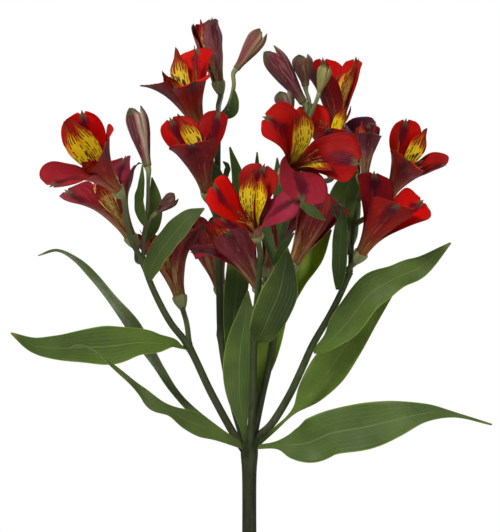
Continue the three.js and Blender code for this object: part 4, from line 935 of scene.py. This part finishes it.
def stamen_finish():
    finish, tree = new_finish("stamen", Subsurface_Weight=0.15, Subsurface_Scale=0.0006)
    pollen = faded(tree, own(tree, "tone"), 0.6, 0.8)
    grains = mottled(tree, 900, 0.4, 0.6)
    base = layered(tree, colour(178, 74, 52), (pollen, 1.0, (112, 76, 46)),
                   (mottled(tree, 160), 0.35, (140, 84, 50)), (grains, 0.3, (60, 48, 36)))
    return finish_off(finish, base, (pollen, 0.5, 0.85), grains, 0.15)


lines = [line for number, bloom in enumerate(BLOOMS) for line in stamen_lines(bloom, number)]
stamens = formed("stamens", shoot_lines("stamen_lines", lines), SHOOTS,
                 {"Sides": 10, "Ribs": 2, "Rib depth": 0.1, "Finish": stamen_finish()})
show("stamens", stamens, "inner_tepal")

# Buds
# A bud is a bloom still shut: three thick outer tepals lapped edge over edge, with green tips that
# have begun to part, round the paler inner ones. Screen colours are outside, inside and margin.
BUD_TINTS = [
    [(104, 34, 52), (210, 176, 140), (230, 202, 176)], [(92, 38, 52), (160, 120, 96), (150, 96, 92)],
    [(148, 72, 76), (206, 182, 110), (214, 180, 128)], [(98, 40, 52), (150, 80, 84), (132, 40, 62)],
    [(106, 64, 58), (140, 90, 76), (124, 92, 64)], [(158, 160, 84), (190, 186, 110), (196, 190, 120)],
    [(88, 62, 60), (140, 110, 84), (170, 150, 130)], [(92, 74, 54), (130, 104, 76), (120, 96, 60)],
]
BUD_THICKNESS = 0.45
BUD_HEIGHTS = [-0.01, 0.12, 0.34, 0.56, 0.76, 0.88, 1]
BUD_RADII = [0.36, 0.4, 0.64, 0.9, 1, 0.86, 0.54]


def bud_blades(bud, tints):
    """Three outer and three inner tepals rolled shut, each lapped over the next at one edge."""
    profile = through([(t, 0, 0, r) for t, r in zip(BUD_HEIGHTS, BUD_RADII)], np.linspace(0, 1, 160))
    u, t = np.meshgrid(np.linspace(-1, 1, 17), np.linspace(-0.01, 1, 36))
    outside, inside, margin = tints
    made = []
    for inner, k in [(False, 0), (False, 1), (False, 2), (True, 0), (True, 1), (True, 2)]:
        # The inner ones are a little shorter and thinner, start elsewhere and close at the top.
        height, girth, start, rolled = (0.97, 0.88, 0.58, 0.3) if inner else (1, 0.98, 0.08, 0.9)
        rise = t * height
        radius = np.interp(rise, profile[:, 0], profile[:, 3]) * bud["wide"] / 2 * girth
        if inner:
            radius = radius * (1 - 0.92 * np.clip((t - 0.68) / 0.32, 0, 1) ** 2)
        narrow = np.clip((rise - 0.6) / 0.4, 0, 1)
        parting = np.exp(-((rise - 0.66) / 0.22) ** 2)
        spread = np.radians(62 - (0 if inner else 9) * parting) * (1 - rolled * narrow ** 5)
        turn = 2 * math.pi * (k + start) / 3 + u * spread
        lapped = radius * (1 + 0.045 * u) + 0.35 * np.exp(-(u / 0.16) ** 2) * np.sin(math.pi * t)
        parted = lapped + (0 if inner else 0.5) * bud["wide"] / 10 * narrow ** 2
        grid = np.stack([np.cos(turn) * parted, np.sin(turn) * parted, rise * bud["long"]], -1)
        grid = np.array(bud["at"]) + grid @ axes(bud["aim"], (0.3, 1, 0.1))
        shell = blade(grid, BUD_THICKNESS, inside if inner else outside, inside)
        if not inner:
            edge = np.clip((np.abs(shell["across"]) - 0.5) / 0.35, 0, 1)[:, None] * 0.8
            shell["tint"] = shell["tint"] * (1 - edge) + np.array(colour(*margin)) * edge
        made.append(shell)
    return made


def bud_finish():
    finish, tree = new_finish("bud", Subsurface_Weight=0.12, Subsurface_Scale=0.001,
                              Subsurface_Radius=(1.0, 0.5, 0.3), Specular_IOR_Level=0.12)
    across, aside, along, tint = of_blade(tree)
    fine = veined(tree, 9.0, 0.35)
    patches = mottled(tree, 130, 0.35, 0.65)
    rib = times(tree, faded(tree, aside, 0.3, 0.04), faded(tree, along, 0.3, 0.9))
    base = layered(
        tree, tint, (patches, 0.22, (74, 40, 50)), (mottled(tree, 60, 0.45, 0.7), 0.18, (150, 110, 96)),
        (fine, 0.3, (66, 30, 36)), (streaked(tree, across, along, 4.0, 0.5, 0.66), 0.4, (176, 152, 116)),
        (faded(tree, times(tree, patches, 0.1, along), 0.88, 1.02), 0.8, (84, 92, 52)),
        (faded(tree, along, 0.22, 0.02), 0.6, (120, 116, 72)), (rib, 0.45, (74, 70, 50)))
    return finish_off(finish, base, (patches, 0.4, 0.55), times(tree, fine, 0.8, patches), 0.1)


BUD_FINISH = bud_finish()
for number, (bud, tints) in enumerate(zip(BUDS, BUD_TINTS), 1):
    mesh = blades_mesh(f"shut_bud_{number}", bud_blades(bud, tints), BUD_FINISH)
    show(mesh.name, mesh, "green_bud" if number == 6 else "bud", f"bud_{number}")

# Floor, light and camera
# The plant stands on a pale round of paper in soft daylight from the upper left, with a white
# surround. The camera looks level at the umbel and frames it as the photograph does.
PAPER_RADIUS = 0.9
PAPER_SIDES = 128
DAYLIGHT = 0.32
VIEW_CENTRE = (0.0005, 0.285)
VIEW_HALF_WIDTH = 0.1383
VIEW_DISTANCE = 5
SENSOR_WIDTH = 36


def floor_finish():
    finish, tree = new_finish("pale paper")
    fibres = mottled(tree, 300, 0.3, 0.7)
    base = layered(tree, colour(240, 240, 238), (fibres, 1.0, (232, 232, 229)))
    return finish_off(finish, base, (fibres, 0.8, 0.95), fibres, 0.05)


def lamp(name, place, size, power, aim=(0, 0, 0.28)):
    data = bpy.data.lights.new(name, "AREA")
    data.shape, data.size, data.energy = "DISK", size, power
    light = bpy.data.objects.new(name, data)
    light.location = place
    away = mathutils.Vector(place) - mathutils.Vector(aim)
    light.rotation_euler = away.to_track_quat("Z", "Y").to_euler()
    bpy.context.scene.collection.objects.link(light)


turns = np.linspace(0, 2 * math.pi, PAPER_SIDES, endpoint=False)
sheet = bpy.data.meshes.new("paper")
sheet.from_pydata([(PAPER_RADIUS * math.cos(a), PAPER_RADIUS * math.sin(a), 0) for a in turns], [],
                  [list(range(PAPER_SIDES))])
sheet.materials.append(floor_finish())
floor = bpy.data.objects.new("paper_floor", sheet)
bpy.context.scene.collection.objects.link(floor)

world = bpy.data.worlds.new("white surround")
bpy.context.scene.world = world
world.use_nodes = True
surround = world.node_tree.nodes["Background"]
surround.inputs[0].default_value = (1, 1, 1, 1)
seen = add(world.node_tree, "ShaderNodeLightPath").outputs["Is Camera Ray"]
shown = times(world.node_tree, seen, 1 - DAYLIGHT, DAYLIGHT)
world.node_tree.links.new(shown, surround.inputs[1])
lamp("window", (-0.8, -1.2, 1.4), 0.5, 22)
lamp("bounce", (0.9, -1.6, 0.4), 0.8, 5)
lamp("back fill", (0.7, 1.5, 1.1), 1.0, 8)

camera = bpy.data.objects.new("camera", bpy.data.cameras.new("camera"))
camera.location = (VIEW_CENTRE[0], -VIEW_DISTANCE, VIEW_CENTRE[1])
camera.rotation_euler = (math.radians(90), 0, 0)
camera.data.sensor_width = SENSOR_WIDTH
camera.data.lens = SENSOR_WIDTH / 2 * VIEW_DISTANCE / VIEW_HALF_WIDTH
bpy.context.scene.collection.objects.link(camera)
bpy.context.scene.camera = camera
bpy.context.scene.view_settings.view_transform = "Standard"
